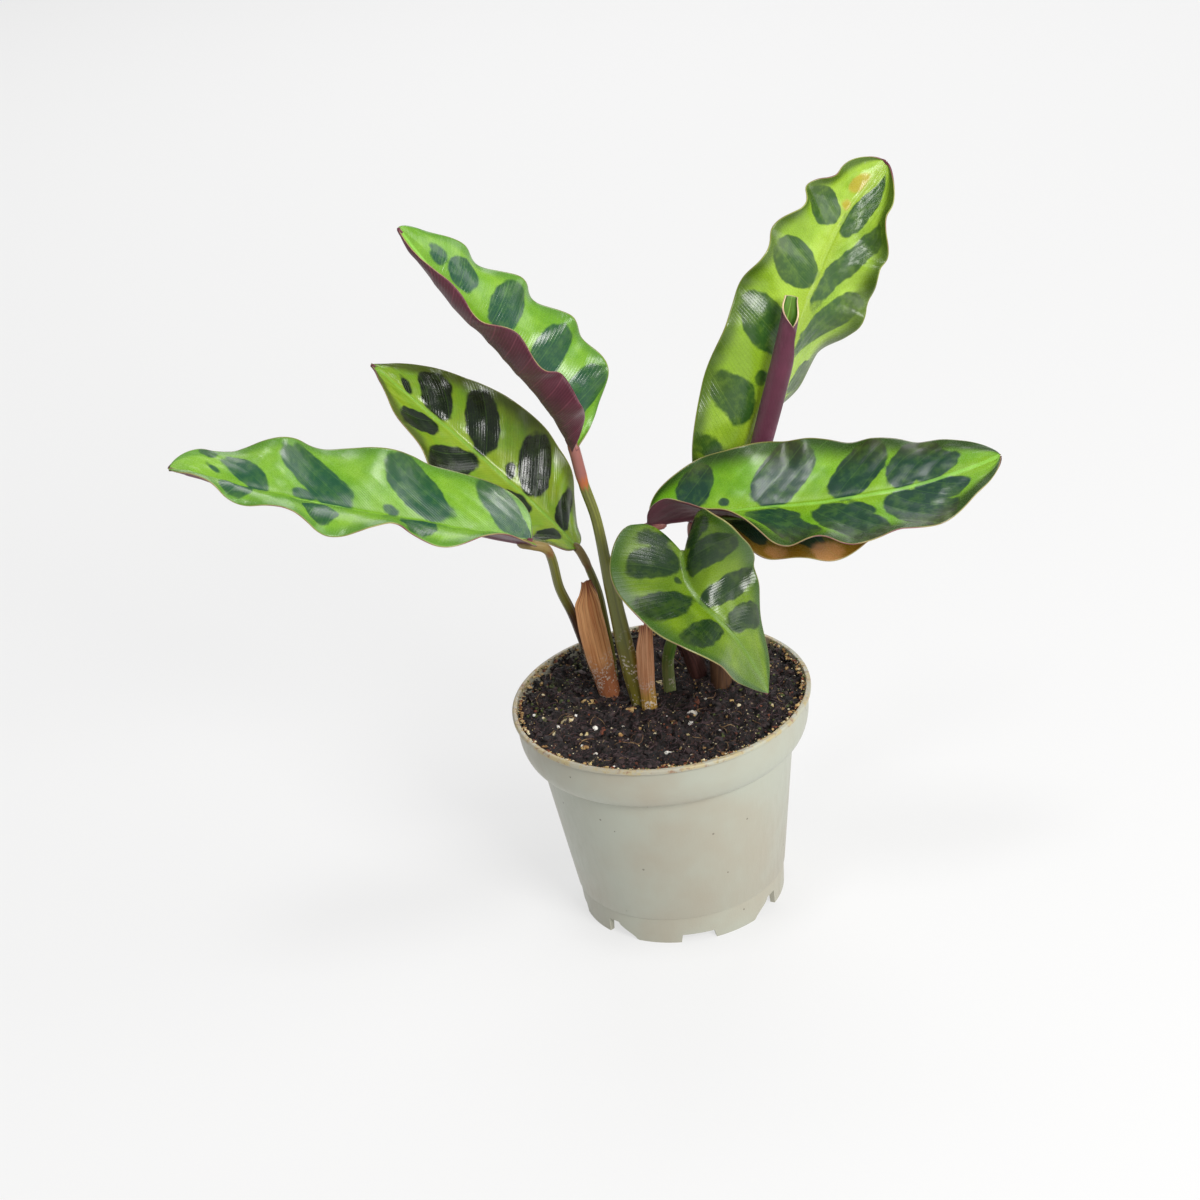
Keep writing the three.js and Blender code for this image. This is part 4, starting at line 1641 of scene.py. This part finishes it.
@dataclass
class Litter:
    """Loose grains of one kind, scattered by a seeded rule or laid where they show.

    Their width runs from smallest to largest. Those past coarse get finer faces, and rough is how far a
    corner is pushed, as a share of the width. A placed grain is given as x, y and width.
    """

    name: str
    kind: GrainKind
    soil: Soil
    count: int
    smallest: float
    largest: float
    inner: float = 0.0
    outer: float = 27.4
    flat: float = 0.7
    sunk: float = 0.3
    lift: float = 0.0
    level: Optional[float] = None
    finest: int = 1
    coarse: float = 1.4
    rough: float = 0.13
    placed: tuple[Point, ...] = ()
    sector: tuple[float, float] = (0.0, 360.0)

    def spots(self, rng: random.Random) -> list[Point]:
        """Places and sizes of the grains.

        Args:
            rng: Seeded source of chance.

        Returns:
            Rows of x, y and size, in millimetres.
        """
        found = list(self.placed)
        for _ in range(self.count):
            radius = math.sqrt(rng.uniform(self.inner**2, self.outer**2))
            turn = math.radians(rng.uniform(*self.sector))
            size = self.smallest + (self.largest - self.smallest) * rng.random() ** 2.5
            found.append((radius * math.cos(turn), radius * math.sin(turn), size))
        return found

    def build(self, rng: random.Random) -> bpy.types.Object:
        """Makes every grain, rough and squashed a little, in one piece.

        Args:
            rng: Seeded source of chance.

        Returns:
            The grains.
        """
        work = bmesh.new()
        for x, y, size in self.spots(rng):
            ground = self.soil.surface_height(x, y) if self.level is None else self.level
            centre = Vector((x, y, ground + self.lift - self.sunk * size))
            turn = Matrix.Rotation(rng.uniform(0, math.tau), 4, "Z")
            turn = turn @ Matrix.Rotation(rng.uniform(-0.5, 0.5), 4, "X")
            shape = Matrix.Diagonal((rng.uniform(0.8, 1.5), rng.uniform(0.7, 1.0), self.flat, 1.0))
            made = bmesh.ops.create_icosphere(
                work, subdivisions=self.finest + (size >= self.coarse), radius=size / 2 * MM,
                matrix=Matrix.Translation(centre * MM + AXIS) @ turn @ shape,
            )
            for vert in made["verts"]:
                push = Vector((rng.uniform(-1, 1), rng.uniform(-1, 1), rng.uniform(-1, 1)))
                vert.co += push * self.rough * size * MM
        mesh = bpy.data.meshes.new(self.name)
        work.to_mesh(mesh)
        work.free()
        piece = dress(mesh, GRAIN_FINISHES[self.kind].material(self.name), sharp=50)
        return stand(piece)


@dataclass
class Fibres:
    """Thin roots and peat fibres that lie curled over the soil."""

    name: str
    soil: Soil
    finish: GrainFinish
    count: int
    shortest: float = 1.5
    longest: float = 5.0
    radius: float = 0.06
    steps: int = 7
    outer: float = 26.5
    above: float = 0.25
    hump: float = 0.25

    def build(self, rng: random.Random) -> bpy.types.Object:
        """Lays each fibre as a thin three-sided tube.

        Args:
            rng: Seeded source of chance.

        Returns:
            The fibres.
        """
        work = bmesh.new()
        for _ in range(self.count):
            reach = math.sqrt(rng.random()) * self.outer
            turn = rng.uniform(0, math.tau)
            x, y = reach * math.cos(turn), reach * math.sin(turn)
            heading, bend = rng.uniform(0, math.tau), rng.uniform(-0.5, 0.5)
            stride = rng.uniform(self.shortest, self.longest) / self.steps
            radius = self.radius * rng.uniform(0.6, 1.4)
            line = []
            for step in range(self.steps + 1):
                hump = self.hump * math.sin(math.pi * step / self.steps)
                if math.hypot(x, y) > self.outer:
                    break
                line.append(Vector((x, y, self.soil.surface_height(x, y) + self.above + hump)))
                x, y = x + stride * math.cos(heading), y + stride * math.sin(heading)
                heading += bend + rng.uniform(-0.3, 0.3)
            if len(line) > 2:
                self.lay(work, line, radius)
        mesh = bpy.data.meshes.new(self.name)
        bmesh.ops.recalc_face_normals(work, faces=work.faces)
        work.to_mesh(mesh)
        work.free()
        return stand(dress(mesh, self.finish.material(self.name)))

    @staticmethod
    def lay(work: bmesh.types.BMesh, line: list[Vector], radius: float) -> None:
        """Extrudes a small triangle along the points of one fibre.

        Args:
            work: Mesh that the fibre is added to.
            line: Points in millimetres.
            radius: The fibre's radius in millimetres.
        """
        start = Matrix.Translation(line[0] * MM + AXIS)
        upright = (line[1] - line[0]).to_track_quat("Z", "Y").to_matrix().to_4x4()
        ring = bmesh.ops.create_circle(
            work, cap_ends=True, segments=3, radius=radius * MM, matrix=start @ upright
        )
        edges = list({edge for vert in ring["verts"] for edge in vert.link_edges})
        for here, there in zip(line, line[1:]):
            grown = bmesh.ops.extrude_edge_only(work, edges=edges)["geom"]
            verts = [part for part in grown if isinstance(part, bmesh.types.BMVert)]
            edges = [part for part in grown if isinstance(part, bmesh.types.BMEdge)]
            bmesh.ops.translate(work, verts=verts, vec=(there - here) * MM)
        bmesh.ops.holes_fill(work, edges=edges)


@dataclass(frozen=True)
class Lamp:
    """A soft square light that looks at the plant.

    It stands at a place in millimetres round the pot's axis. Size is in metres and power in watts.
    """

    name: str
    place: Point
    size: float
    power: float
    colour: Point = WHITE


LAMPS = (
    Lamp("window", (330, -560, 440), 0.28, 4.4, WARM_WHITE),
    Lamp("overhead", (-40, -150, 880), 0.18, 1.7),
    Lamp("side", (620, -60, 300), 0.4, 1.4, WARM_WHITE),
    Lamp("behind", (60, 640, 520), 0.6, 2.4),
)


@dataclass
class Studio:
    """Pale floor, soft lights and the camera at the photograph's angle.

    Another program solved the camera's place, direction and upright from the pot's rim and foot.
    """

    camera_place: Point = (0.0, -522.4, 341.1)
    camera_forward: Point = (-0.0164, 0.8864, -0.4626)
    camera_up: Point = (0.1204, 0.461, 0.8792)
    lens: float = 90.0
    sensor: float = 36.0
    floor_size: float = 3.0
    world: Colour = (*WHITE, 1.0)
    world_strength: float = 0.35
    aim: float = 80.0

    def floor(self) -> bpy.types.Object:
        """Lays the floor.

        Returns:
            The floor.
        """
        work = bmesh.new()
        bmesh.ops.create_grid(work, x_segments=2, y_segments=2, size=self.floor_size)
        mesh = bpy.data.meshes.new("studio_floor")
        work.to_mesh(mesh)
        work.free()
        piece = dress(mesh, PlainFinish(paint(137, 137, 137), 0.9, 0.64).material("studio_floor"))
        return piece

    def light(self, lamp: Lamp) -> None:
        """Adds a lamp, turned towards the middle of the plant.

        Args:
            lamp: Its place, size, power and colour.
        """
        light = bpy.data.lights.new(lamp.name, "AREA")
        light.size = lamp.size
        light.energy = lamp.power
        light.color = lamp.colour
        holder = bpy.data.objects.new(lamp.name, light)
        bpy.context.scene.collection.objects.link(holder)
        holder.location = Vector(lamp.place) * MM + AXIS
        target = AXIS + Vector((0, 0, self.aim * MM))
        holder.rotation_euler = (holder.location - target).to_track_quat("Z", "Y").to_euler()

    def camera(self) -> None:
        """Places the camera where the photograph was taken from."""
        lens = bpy.data.cameras.new("photo_camera")
        lens.lens = self.lens
        lens.sensor_width = self.sensor
        lens.sensor_fit = "HORIZONTAL"
        lens.clip_start = 0.05
        holder = bpy.data.objects.new("photo_camera", lens)
        forward, up = Vector(self.camera_forward).normalized(), Vector(self.camera_up)
        right = forward.cross(up).normalized()
        up = right.cross(forward)
        axes = Matrix((right, up, -forward)).transposed().to_4x4()
        holder.matrix_world = Matrix.Translation(Vector(self.camera_place) * MM + AXIS) @ axes
        bpy.context.scene.collection.objects.link(holder)
        bpy.context.scene.camera = holder

    def build(self) -> None:
        """Sets up the floor, the light and the camera."""
        self.floor()
        self.camera()
        world = bpy.data.worlds.new("studio")
        world.use_nodes = True
        background = world.node_tree.nodes["Background"]
        background.inputs["Color"].default_value = self.world
        background.inputs["Strength"].default_value = self.world_strength
        bpy.context.scene.world = world
        bpy.context.scene.view_settings.view_transform = "Standard"
        for lamp in LAMPS:
            self.light(lamp)


def leaves() -> list[Leaf]:
    """The seven open leaves, with the marks that each one carries.

    The sizes of the blades repeat those of the solids. Another program fitted them to the outlines of the
    leaves in the photograph, and they were rounded. The blotches and spots were placed one by one.

    Returns:
        The leaves, from the tallest down.
    """
    # The tall blade's paler greens are partly its own tone and partly painted light shining through it from
    # behind.
    pale_and_backlit = LeafFinish(
        base=paint(130, 166, 36), pale=paint(158, 192, 58), inner=paint(146, 172, 34),
        blotch=paint(46, 82, 30), blotch_far=paint(58, 84, 24), margin=paint(64, 90, 18),
        rib=paint(146, 176, 58), rim=paint(150, 156, 76), margin_band=0.18,
    )
    right = LeafFinish(margin=paint(32, 56, 20), margin_band=0.24)
    fresh = LeafFinish(
        base=paint(98, 150, 32), pale=paint(126, 172, 50), inner=paint(112, 158, 32),
        blotch=paint(28, 76, 52), blotch_far=paint(44, 84, 44), margin=paint(86, 134, 42),
        margin_band=0.12,
    )
    olive = LeafFinish(
        base=paint(138, 162, 32), pale=paint(118, 162, 38), inner=paint(146, 176, 52),
        blotch=paint(20, 34, 20), blotch_far=paint(30, 38, 16), margin=paint(72, 84, 22),
        rib=paint(124, 176, 58), gloss=Gloss.WET, painted_sheen=0.05,
    )
    young = LeafFinish(
        base=paint(78, 108, 10), pale=paint(104, 132, 18), inner=paint(92, 124, 12),
        blotch=paint(24, 50, 20), blotch_far=paint(32, 52, 18), margin=paint(50, 82, 18),
        rib=paint(96, 130, 46), margin_band=0.18,
    )
    # The old leaf under the right blade: its golden margin and spots are its own, and its dark olive base is
    # partly painted shade from the blade above.
    ageing_painted_shade = LeafFinish(
        base=paint(76, 84, 26), pale=paint(92, 98, 30), inner=paint(80, 80, 30),
        margin=paint(150, 112, 30), spot=paint(214, 156, 100), margin_band=0.36,
    )
    return [
        Leaf(
            name="tall", slot="leaf",
            midrib=((16.5, 14, 79), (45.5, 20, 129), (38.5, 30, 122.5), (56.5, 38, 137.5)), half_width=15,
            belly=0.2, base_round=0.4, tip_round=0.5, twist=(90, 70, 60),
            right=Half((-60, -20, -15), (-15, 100), 4.6, 0.45, 0.5),
            left=Half((20, 0, -5), (-40, 50), 5.1, 0.9, 0.09), ripple=1.8, finish=pale_and_backlit,
            blotches=(
                Blotch(-0.12, 0.7, -0.9, 0.775, 11.2), Blotch(-0.03, 0.455, -0.85, 0.53, 10.1),
                Blotch(-0.05, 0.265, -0.9, 0.345, 8.2), Blotch(-0.18, 0.135, -0.88, 0.17, 5.1),
                Blotch(-0.35, 0.06, -0.95, 0.07, 2.2), Blotch(-0.17, 0.19, -0.33, 0.2, 1.8),
                Blotch(0.08, 0.69, 0.45, 0.965, 6.6), Blotch(0.12, 0.5, 0.34, 0.6, 2.5),
                Blotch(0.1, 0.385, 0.82, 0.825, 5.5), Blotch(0.12, 0.305, 0.28, 0.335, 1.3),
                Blotch(0.2, 0.265, 0.9, 0.5, 6.6), Blotch(0.52, 0.2, 0.95, 0.22, 6.1),
            ),
            spots=(Spot(-0.2, 0.9, 3.2), Spot(-0.1, 0.81, 1.6)),
        ),
        Leaf(
            name="right", slot="leaf",
            midrib=((2, 4, 81.5), (26.5, -2, 87), (43, -6, 83), (69.5, -7, 92.5)), half_width=14.5,
            belly=0.5, base_round=0.4, tip_round=0.6, twist=(15, 15, 25),
            right=Half((60, 0, -15), (20, 20), 4.6, 0.95, 0.26),
            left=Half((25, 10, 15), (55, -30), 4.6, 0.05, 0.18), ripple=1.1, finish=right,
            blotches=(
                Blotch(-0.04, 0.79, -0.62, 0.9, 7.4), Blotch(-0.03, 0.715, -0.96, 0.85, 8.2),
                Blotch(-0.03, 0.54, -0.92, 0.7, 9.0), Blotch(-0.05, 0.308, -0.93, 0.46, 10.2),
                Blotch(-0.18, 0.115, -0.9, 0.145, 7.2), Blotch(-0.14, 0.2, -0.24, 0.215, 2.4),
                Blotch(0.02, 0.785, 0.45, 0.91, 6.8), Blotch(0.06, 0.695, 0.95, 0.86, 8.6),
                Blotch(0.1, 0.585, 0.38, 0.66, 3.2), Blotch(0.1, 0.478, 0.95, 0.7, 8.2),
                Blotch(0.12, 0.36, 0.32, 0.44, 2.9), Blotch(0.14, 0.285, 0.86, 0.5, 8.2),
                Blotch(0.2, 0.12, 0.85, 0.2, 7.5),
            ),
        ),
        Leaf(
            name="drooping", slot="leaf_glossy",
            midrib=((7.5, -10, 81.5), (6, -19, 72.5), (14.5, -23, 77), (20.5, -19, 54)), half_width=14.5,
            belly=0.25, base_round=0.3, tip_round=0.8, lobe=6, base_width=0.55, twist=(35, 20, 55),
            right=Half((40, 20, -5), (5, 5), 2.4, 0.5, 0.0),
            left=Half((20, 10, 0), (10, 5), 3, 0.35, 0.17), ripple=0.9, finish=young,
            blotches=(
                Blotch(0.0, 0.635, -0.88, 0.755, 5.0), Blotch(-0.02, 0.39, -0.9, 0.56, 6.4),
                Blotch(-0.02, 0.1, -0.95, 0.25, 6.2), Blotch(-0.12, 0.005, -0.9, 0.05, 3.2),
                Blotch(0.06, 0.59, 0.92, 0.53, 5.4), Blotch(0.03, 0.335, 0.92, 0.34, 5.8),
                Blotch(0.04, 0.07, 0.8, 0.15, 5.0), Blotch(0.08, 0.18, 0.16, 0.187, 1.4),
                Blotch(0.25, 0.01, 0.7, 0.03, 2.0),
            ),
            pleat=0.12, rows=150,
        ),
        Leaf(
            name="upper_left", slot="leaf",
            midrib=((-11, 6, 98.5), (-15, 8, 112.5), (-26, 6, 124.5), (-38, 3, 149)), half_width=14.5,
            belly=0.3, base_round=1.1, tip_round=0.6, twist=(-45, -50, -50),
            right=Half((35, 30, 30), (-20, -55), 4.7, 0.25, 0.06),
            left=Half((45, 35, 15), (100, 70), 4.2, 0.7, 0.1), ripple=2.0, finish=fresh,
            blotches=(
                Blotch(0.2, 0.87, 0.62, 0.885, 3.2), Blotch(0.16, 0.775, 0.78, 0.8, 6.4),
                Blotch(0.12, 0.59, 0.92, 0.635, 7.4), Blotch(0.1, 0.37, 0.88, 0.42, 8.0),
                Blotch(0.1, 0.17, 0.95, 0.22, 8.0), Blotch(-0.1, 0.68, -0.8, 0.75, 6.9),
                Blotch(-0.08, 0.47, -0.85, 0.55, 7.5), Blotch(-0.08, 0.27, -0.85, 0.34, 6.9),
            ),
        ),
        Leaf(
            name="broad", slot="leaf_dark",
            midrib=((-13, 12, 74.5), (-21.5, 17, 85), (-37, 22, 101), (-49, 26, 113)), half_width=13,
            belly=0.45, base_round=0.5, tip_round=0.85, twist=(15, -20, 0),
            right=Half((5, 35, 25), (0, 5), 3.3, 0.5, 0.19), left=Half((-5, 5, 5), (0, 5), 3.3, 0, 0.18),
            ripple=1.2, finish=olive,
            blotches=(
                Blotch(0.07, 0.835, 0.4, 0.89, 1.9), Blotch(0.03, 0.695, 0.85, 0.825, 6.2),
                Blotch(0.05, 0.49, 0.84, 0.66, 6.2), Blotch(0.07, 0.373, 0.26, 0.423, 1.9),
                Blotch(0.05, 0.262, 0.9, 0.42, 7.0), Blotch(0.06, 0.112, 0.9, 0.18, 4.6),
                Blotch(-0.1, 0.688, -0.85, 0.81, 5.5), Blotch(-0.08, 0.505, -0.95, 0.655, 5.7),
                Blotch(-0.05, 0.27, -0.88, 0.4, 6.6), Blotch(-0.12, 0.1, -0.88, 0.158, 4.2),
            ),
            pleat=0.2, rows=180,
        ),
        Leaf(
            name="left", slot="leaf",
            midrib=((-21.5, -1, 83), (-53.5, -9, 98.5), (-68.5, -15, 106), (-85, -18, 115.5)),
            half_width=13, belly=0.3, base_round=0.3, tip_round=0.5, twist=(-10, -15, 0),
            right=Half((40, 35, 30), (5, -15), 3.3, 0.15, 0.24),
            left=Half((40, 40, 50), (-25, -70), 3.5, 0.95, 0.09), ripple=2.4, finish=fresh,
            blotches=(
                Blotch(0.05, 0.67, 0.73, 0.82, 6.0), Blotch(0.04, 0.42, 0.86, 0.63, 7.4),
                Blotch(0.1, 0.175, 0.97, 0.335, 7.6), Blotch(0.13, 0.012, 1.0, 0.1, 6.2),
                Blotch(0.78, 0.835, 1.0, 0.9, 3.4), Blotch(0.29, 0.832, 0.49, 0.87, 1.5),
                Blotch(0.1, 0.52, 0.16, 0.59, 2.3), Blotch(0.08, 0.295, 0.17, 0.335, 2.1),
                Blotch(-0.06, 0.755, -0.9, 0.835, 7.5), Blotch(-0.35, 0.5, -0.8, 0.58, 6.9),
                Blotch(-0.05, 0.235, -0.9, 0.3, 6.4),
            ),
        ),
        Leaf(
            name="old", slot="leaf_old",
            midrib=((10, 8, 79.5), (19, 6, 80.5), (40.5, 6, 73), (52, 8, 77)), half_width=11, belly=0.5,
            base_round=0.5, tip_round=0.8, twist=(-5, 15, 10),
            right=Half((15, -5, 0), (5, 5), 3.6, 0.4, 0.15), left=Half((65, 70, 60), (5, 5), 4, 0, 0.15),
            ripple=1.1, finish=ageing_painted_shade,
            blotches=(
                Blotch(0.1, 0.25, 0.75, 0.36, 4.8), Blotch(0.1, 0.48, 0.7, 0.6, 5.0),
                Blotch(-0.1, 0.36, -0.8, 0.48, 5.3), Blotch(-0.1, 0.6, -0.75, 0.72, 5.0),
            ),
            spots=(Spot(0.8, 0.62, 2.6), Spot(0.85, 0.42, 1.8), Spot(0.75, 0.8, 2.2)), rows=160,
        ),
    ]


def stalks() -> list[Stalk]:
    """The eight stalks, each from its buried foot to its blade.

    Returns:
        The stalks.
    """
    olive = StalkFinish(ring=paint(112, 84, 44), pulvinus=paint(122, 104, 56))
    brown = StalkFinish(
        foot=paint(70, 44, 32), body=paint(112, 112, 46), ring=paint(120, 88, 48),
        pulvinus=paint(132, 112, 62), foot_share=0.55,
    )
    green = StalkFinish(
        foot=paint(152, 166, 104), body=paint(104, 142, 58), shade=paint(62, 100, 38),
        ring=paint(120, 150, 60), pulvinus=paint(120, 146, 62),
    )
    return [
        Stalk(
            "tall",
            (
                (12.3, 4, 36), (12.4, 4.4, 43), (12.6, 5.5, 49), (12.7, 8, 57), (14.5, 12, 68),
                (16.4, 14, 78), (16.9, 14.1, 80.5),
            ),
            (1.1, 1.05, 1.0, 0.95),
        ),
        Stalk(
            "right",
            (
                (8.6, 10.5, 36), (8.1, 10.4, 43), (6.9, 10, 49.5), (2.8, 8.5, 60), (0, 8, 72),
                (-0.2, 6, 79), (2, 4, 81.1), (5, 3.3, 81.6),
            ),
            (1.0, 1.0, 0.95, 0.85),
        ),
        Stalk(
            "drooping",
            (
                (1.8, 6.4, 36), (1.9, 6, 43), (2.2, 5, 50.5), (4.1, 1, 59), (5.9, -5, 71),
                (7.2, -9.2, 80.6), (7.4, -10.4, 81),
            ),
            (1.3, 1.15, 1.0, 0.95), green,
        ),
        Stalk(
            "upper_left",
            (
                (-4.4, 1.2, 36), (-4.6, 1.3, 43), (-5.6, 1.8, 51), (-7.2, 3.2, 67), (-8.5, 5, 84),
                (-10, 6, 91), (-10.9, 6, 98.1), (-11.3, 6.2, 100.5),
            ),
            (1.25, 1.5, 1.2, 1.0, 1.0), wing=0.7, wing_top=0.62, wing_facing=60.0,
        ),
        Stalk(
            "broad",
            (
                (-9, 13, 36), (-9.2, 12.8, 43), (-9.2, 12.6, 51), (-9.6, 12.5, 58), (-10.2, 12, 65),
                (-12.6, 12, 73.6), (-13.8, 12.5, 75.2),
            ),
            (0.9, 0.85, 0.75), olive,
        ),
        Stalk(
            "left",
            (
                (-11.4, 10.6, 36), (-12, 10.2, 43), (-13.8, 9.2, 53), (-15.6, 7, 62.5), (-17.3, 4, 70),
                (-18.7, 0.2, 80.8), (-21.2, -0.9, 82.6), (-24, -1.8, 83.9),
            ),
            (1.0, 0.95, 0.85), brown, "stalk_brown",
        ),
        Stalk(
            "old",
            (
                (12.4, 13, 36), (12.2, 12.6, 43), (11.8, 12, 49), (11.2, 11, 58), (10.4, 9.3, 70),
                (10.2, 8.2, 78.4), (11.2, 8, 79.1),
            ),
            (1.0, 0.9, 0.8),
        ),
        Stalk(
            "furled",
            ((15.2, 7.4, 36), (15.2, 8, 43), (15.6, 9.2, 56), (17.5, 10.4, 68.5), (18.5, 10.9, 72)),
            (1.1, 1.0, 0.95), StalkFinish(pulvinus_share=0.9, pulvinus=paint(120, 60, 66)),
        ),
    ]


def sheath(name: str, finish: SheathFinish, **sizes: str | float | tuple) -> Roll:
    """An old leaf's sheath, with one finish inside, outside and along its rim.

    Args:
        name: The finish's part of the names, such as dry.
        finish: Its dry, papery finish.
        **sizes: What else the roll is given, by field name.

    Returns:
        The sheath.
    """
    material = finish.material(f"sheath_{name}")
    return Roll(name=f"{name}_sheath", outer=material, inner=material, rim=material, **sizes)


def rolls() -> list[Roll]:
    """The furled leaf and the four old sheaths.

    Returns:
        The rolled sheets.
    """
    furled = LeafFinish(
        base=paint(84, 128, 40), pale=paint(104, 150, 44), inner=paint(96, 120, 36),
        under=paint(98, 40, 64), under_vein=paint(124, 58, 82), rim=paint(214, 190, 150),
        gloss=Gloss.SATIN,
    )
    dry = SheathFinish(foot=paint(172, 98, 64), foot_share=0.5)
    front = SheathFinish(
        light=paint(238, 182, 138), streak=paint(192, 120, 76), stain=paint(120, 60, 40),
        foot=paint(176, 142, 40), foot_share=0.5,
    )
    red = SheathFinish(
        light=paint(92, 56, 50), streak=paint(60, 34, 32), stain=paint(40, 24, 26), foot=paint(96, 58, 44)
    )
    brown = SheathFinish(
        light=paint(96, 66, 40), streak=paint(62, 40, 28), stain=paint(36, 24, 20), foot=paint(176, 116, 44)
    )
    return [
        Roll(
            "furled_blade", "furled_leaf", "leaf_furled",
            ((17.7, 10.5, 69), (21.1, 12, 80.5), (25.4, 13, 92), (31.1, 14, 108.6), (35, 15, 120.5)),
            (1.5, 1.55, 1.75, 1.65), 110, (205, 225, 225, 225, 225, 225, 225, 190, 45),
            furled.underside("furled_outer"), furled.upper("furled_inner"), furled.edge("furled_rim"),
            pitch=0.55, wrinkles=0.03, thickness=0.34, columns=110, rows=140,
        ),
        sheath(
            "dry", dry, node="sheath_tall_dry", slot="sheath_dry",
            route=((-9.8, 7.2, 36), (-10.2, 6.8, 43), (-11.5, 5.6, 54), (-12.5, 5.4, 64), (-12.9, 5.6, 71)),
            radii=(1.9, 1.9, 2.1, 2.5, 2.6, 2.5, 2.0), facing=-60,
            half_turn=(110, 110, 105, 105, 100, 90, 30), tear=0.015, wrinkles=0.06, wrinkle_count=9,
        ),
        sheath(
            "front", front, node="sheath_front", slot="sheath_dry",
            route=((-2.4, 0, 36), (-2.7, 0.1, 43), (-2.8, 0.2, 52), (-2.2, 0.8, 63.5)),
            radii=(1.5, 1.5, 2.0, 2.1), facing=-40, half_turn=(100, 100, 95, 85, 60), tear=0.1,
            wrinkles=0.16, columns=60, rows=70,
        ),
        sheath(
            "red", red, node="sheath_red", slot="sheath_red",
            route=((8.6, 10.5, 36), (8.1, 10.4, 43), (6.9, 10, 49.5), (5.6, 9.5, 53)), radii=(1.75, 1.75),
            facing=-100, half_turn=(150, 150, 120, 60), tear=0.12, wrinkles=0.12, columns=60, rows=50,
        ),
        sheath(
            "brown", brown, node="sheath_brown", slot="sheath_red",
            route=((12.3, 4, 36), (12.4, 4.4, 43), (12.6, 5.5, 49), (12.7, 6.4, 52.5)), radii=(1.9, 1.9),
            facing=-80, half_turn=(150, 150, 110, 50), tear=0.12, wrinkles=0.12, columns=60, rows=50,
        ),
    ]


def litter(soil: Soil) -> list[Litter]:
    """The loose grains, from the commonest to the rarest.

    Args:
        soil: The peat that they lie on.

    Returns:
        The scatters.
    """
    return [
        Litter("peat_crumbs", GrainKind.PEAT, soil, 1500, 0.35, 1.9),
        Litter(
            "rusty_crumbs", GrainKind.RUSTY, soil, 220, 0.25, 0.9,
            placed=((-12.2, -9.3, 1.4), (6.9, -1.2, 1.5)),
        ),
        Litter(
            "tan_chips",
            GrainKind.TAN,
            soil, 120, 0.25, 1.0,
            placed=(
                (-14.7, 2.6, 1.9), (-6.2, -1.1, 1.9), (-16.1, -15.1, 1.5), (-8.8, -11.8, 1.3),
                (-5.2, -9.1, 1.1),
            ),
        ),
        Litter(
            "cream_chips",
            GrainKind.CREAM,
            soil, 50, 0.3, 0.9,
            placed=(
                (-18.9, -3.5, 2.6), (-0.3, 8.9, 2.0), (-21.7, -8.1, 1.4), (-17, 1.7, 1.3),
                (-18.5, 24.0, 1.3),
            ),
        ),
        Litter(
            "perlite",
            GrainKind.PERLITE,
            soil, 26, 0.4, 1.1, finest=2,
            placed=(
                (5.8, -5.1, 1.6), (5.2, -9.2, 1.4), (13.2, -6, 1.5), (-0.1, -20.6, 1.6), (-0.3, 3.1, 1.5),
                (-13.7, -7.9, 1.1),
            ),
        ),
        Litter("pale_specks", GrainKind.CREAM, soil, 360, 0.12, 0.34, lift=0.3),
        Litter("moss_left", GrainKind.MOSS, soil, 130, 0.3, 1.3, inner=18, sector=(110, 190)),
        Litter("moss_right", GrainKind.MOSS, soil, 110, 0.3, 1.0, inner=10, sector=(-60, 40)),
        Litter("rim_peat", GrainKind.PEAT, soil, 380, 0.4, 1.1, inner=27.6, outer=28.7, lift=0.4),
        Litter("rim_grit", GrainKind.TAN, soil, 260, 0.3, 0.9, inner=28.0, outer=28.8, lift=0.9),
        Litter("rim_rust", GrainKind.RUSTY, soil, 240, 0.25, 0.8, inner=28.2, outer=28.8, lift=1.0),
        Litter("rim_cream", GrainKind.CREAM, soil, 150, 0.25, 0.8, inner=28.2, outer=28.8, lift=1.0),
        Litter(
            "rim_dust", GrainKind.TAN, soil, 360, 0.14, 0.42, inner=28.95, outer=29.45, sunk=0.1, level=46.0
        ),
        Litter("rim_moss", GrainKind.MOSS, soil, 120, 0.2, 0.6, inner=28.6, outer=29.1, sunk=0.1, level=45.9),
    ]


def write_sizes() -> None:
    """Brings the view layer up to date."""
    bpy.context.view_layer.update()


def main() -> None:
    """Builds the studio, the pot, the soil and the plant."""
    logging.basicConfig(level=logging.INFO, format="%(message)s")
    rng = random.Random(SEED)
    Studio().build()
    Pot().build()
    soil = Soil()
    soil.build()
    for scatter in litter(soil):
        scatter.build(rng)
    dark = GrainFinish(paint(92, 72, 76), paint(64, 46, 48))
    pale = GrainFinish(paint(170, 140, 96), paint(120, 84, 56))
    Fibres("dark_fibres", soil, dark, 520, shortest=1.0, longest=3.6).build(rng)
    Fibres("pale_fibres", soil, pale, 60).build(rng)
    for leaf in leaves():
        leaf.build()
    for stalk in stalks():
        stalk.build()
    for roll in rolls():
        roll.build()
    write_sizes()


if __name__ == "__main__":
    main()
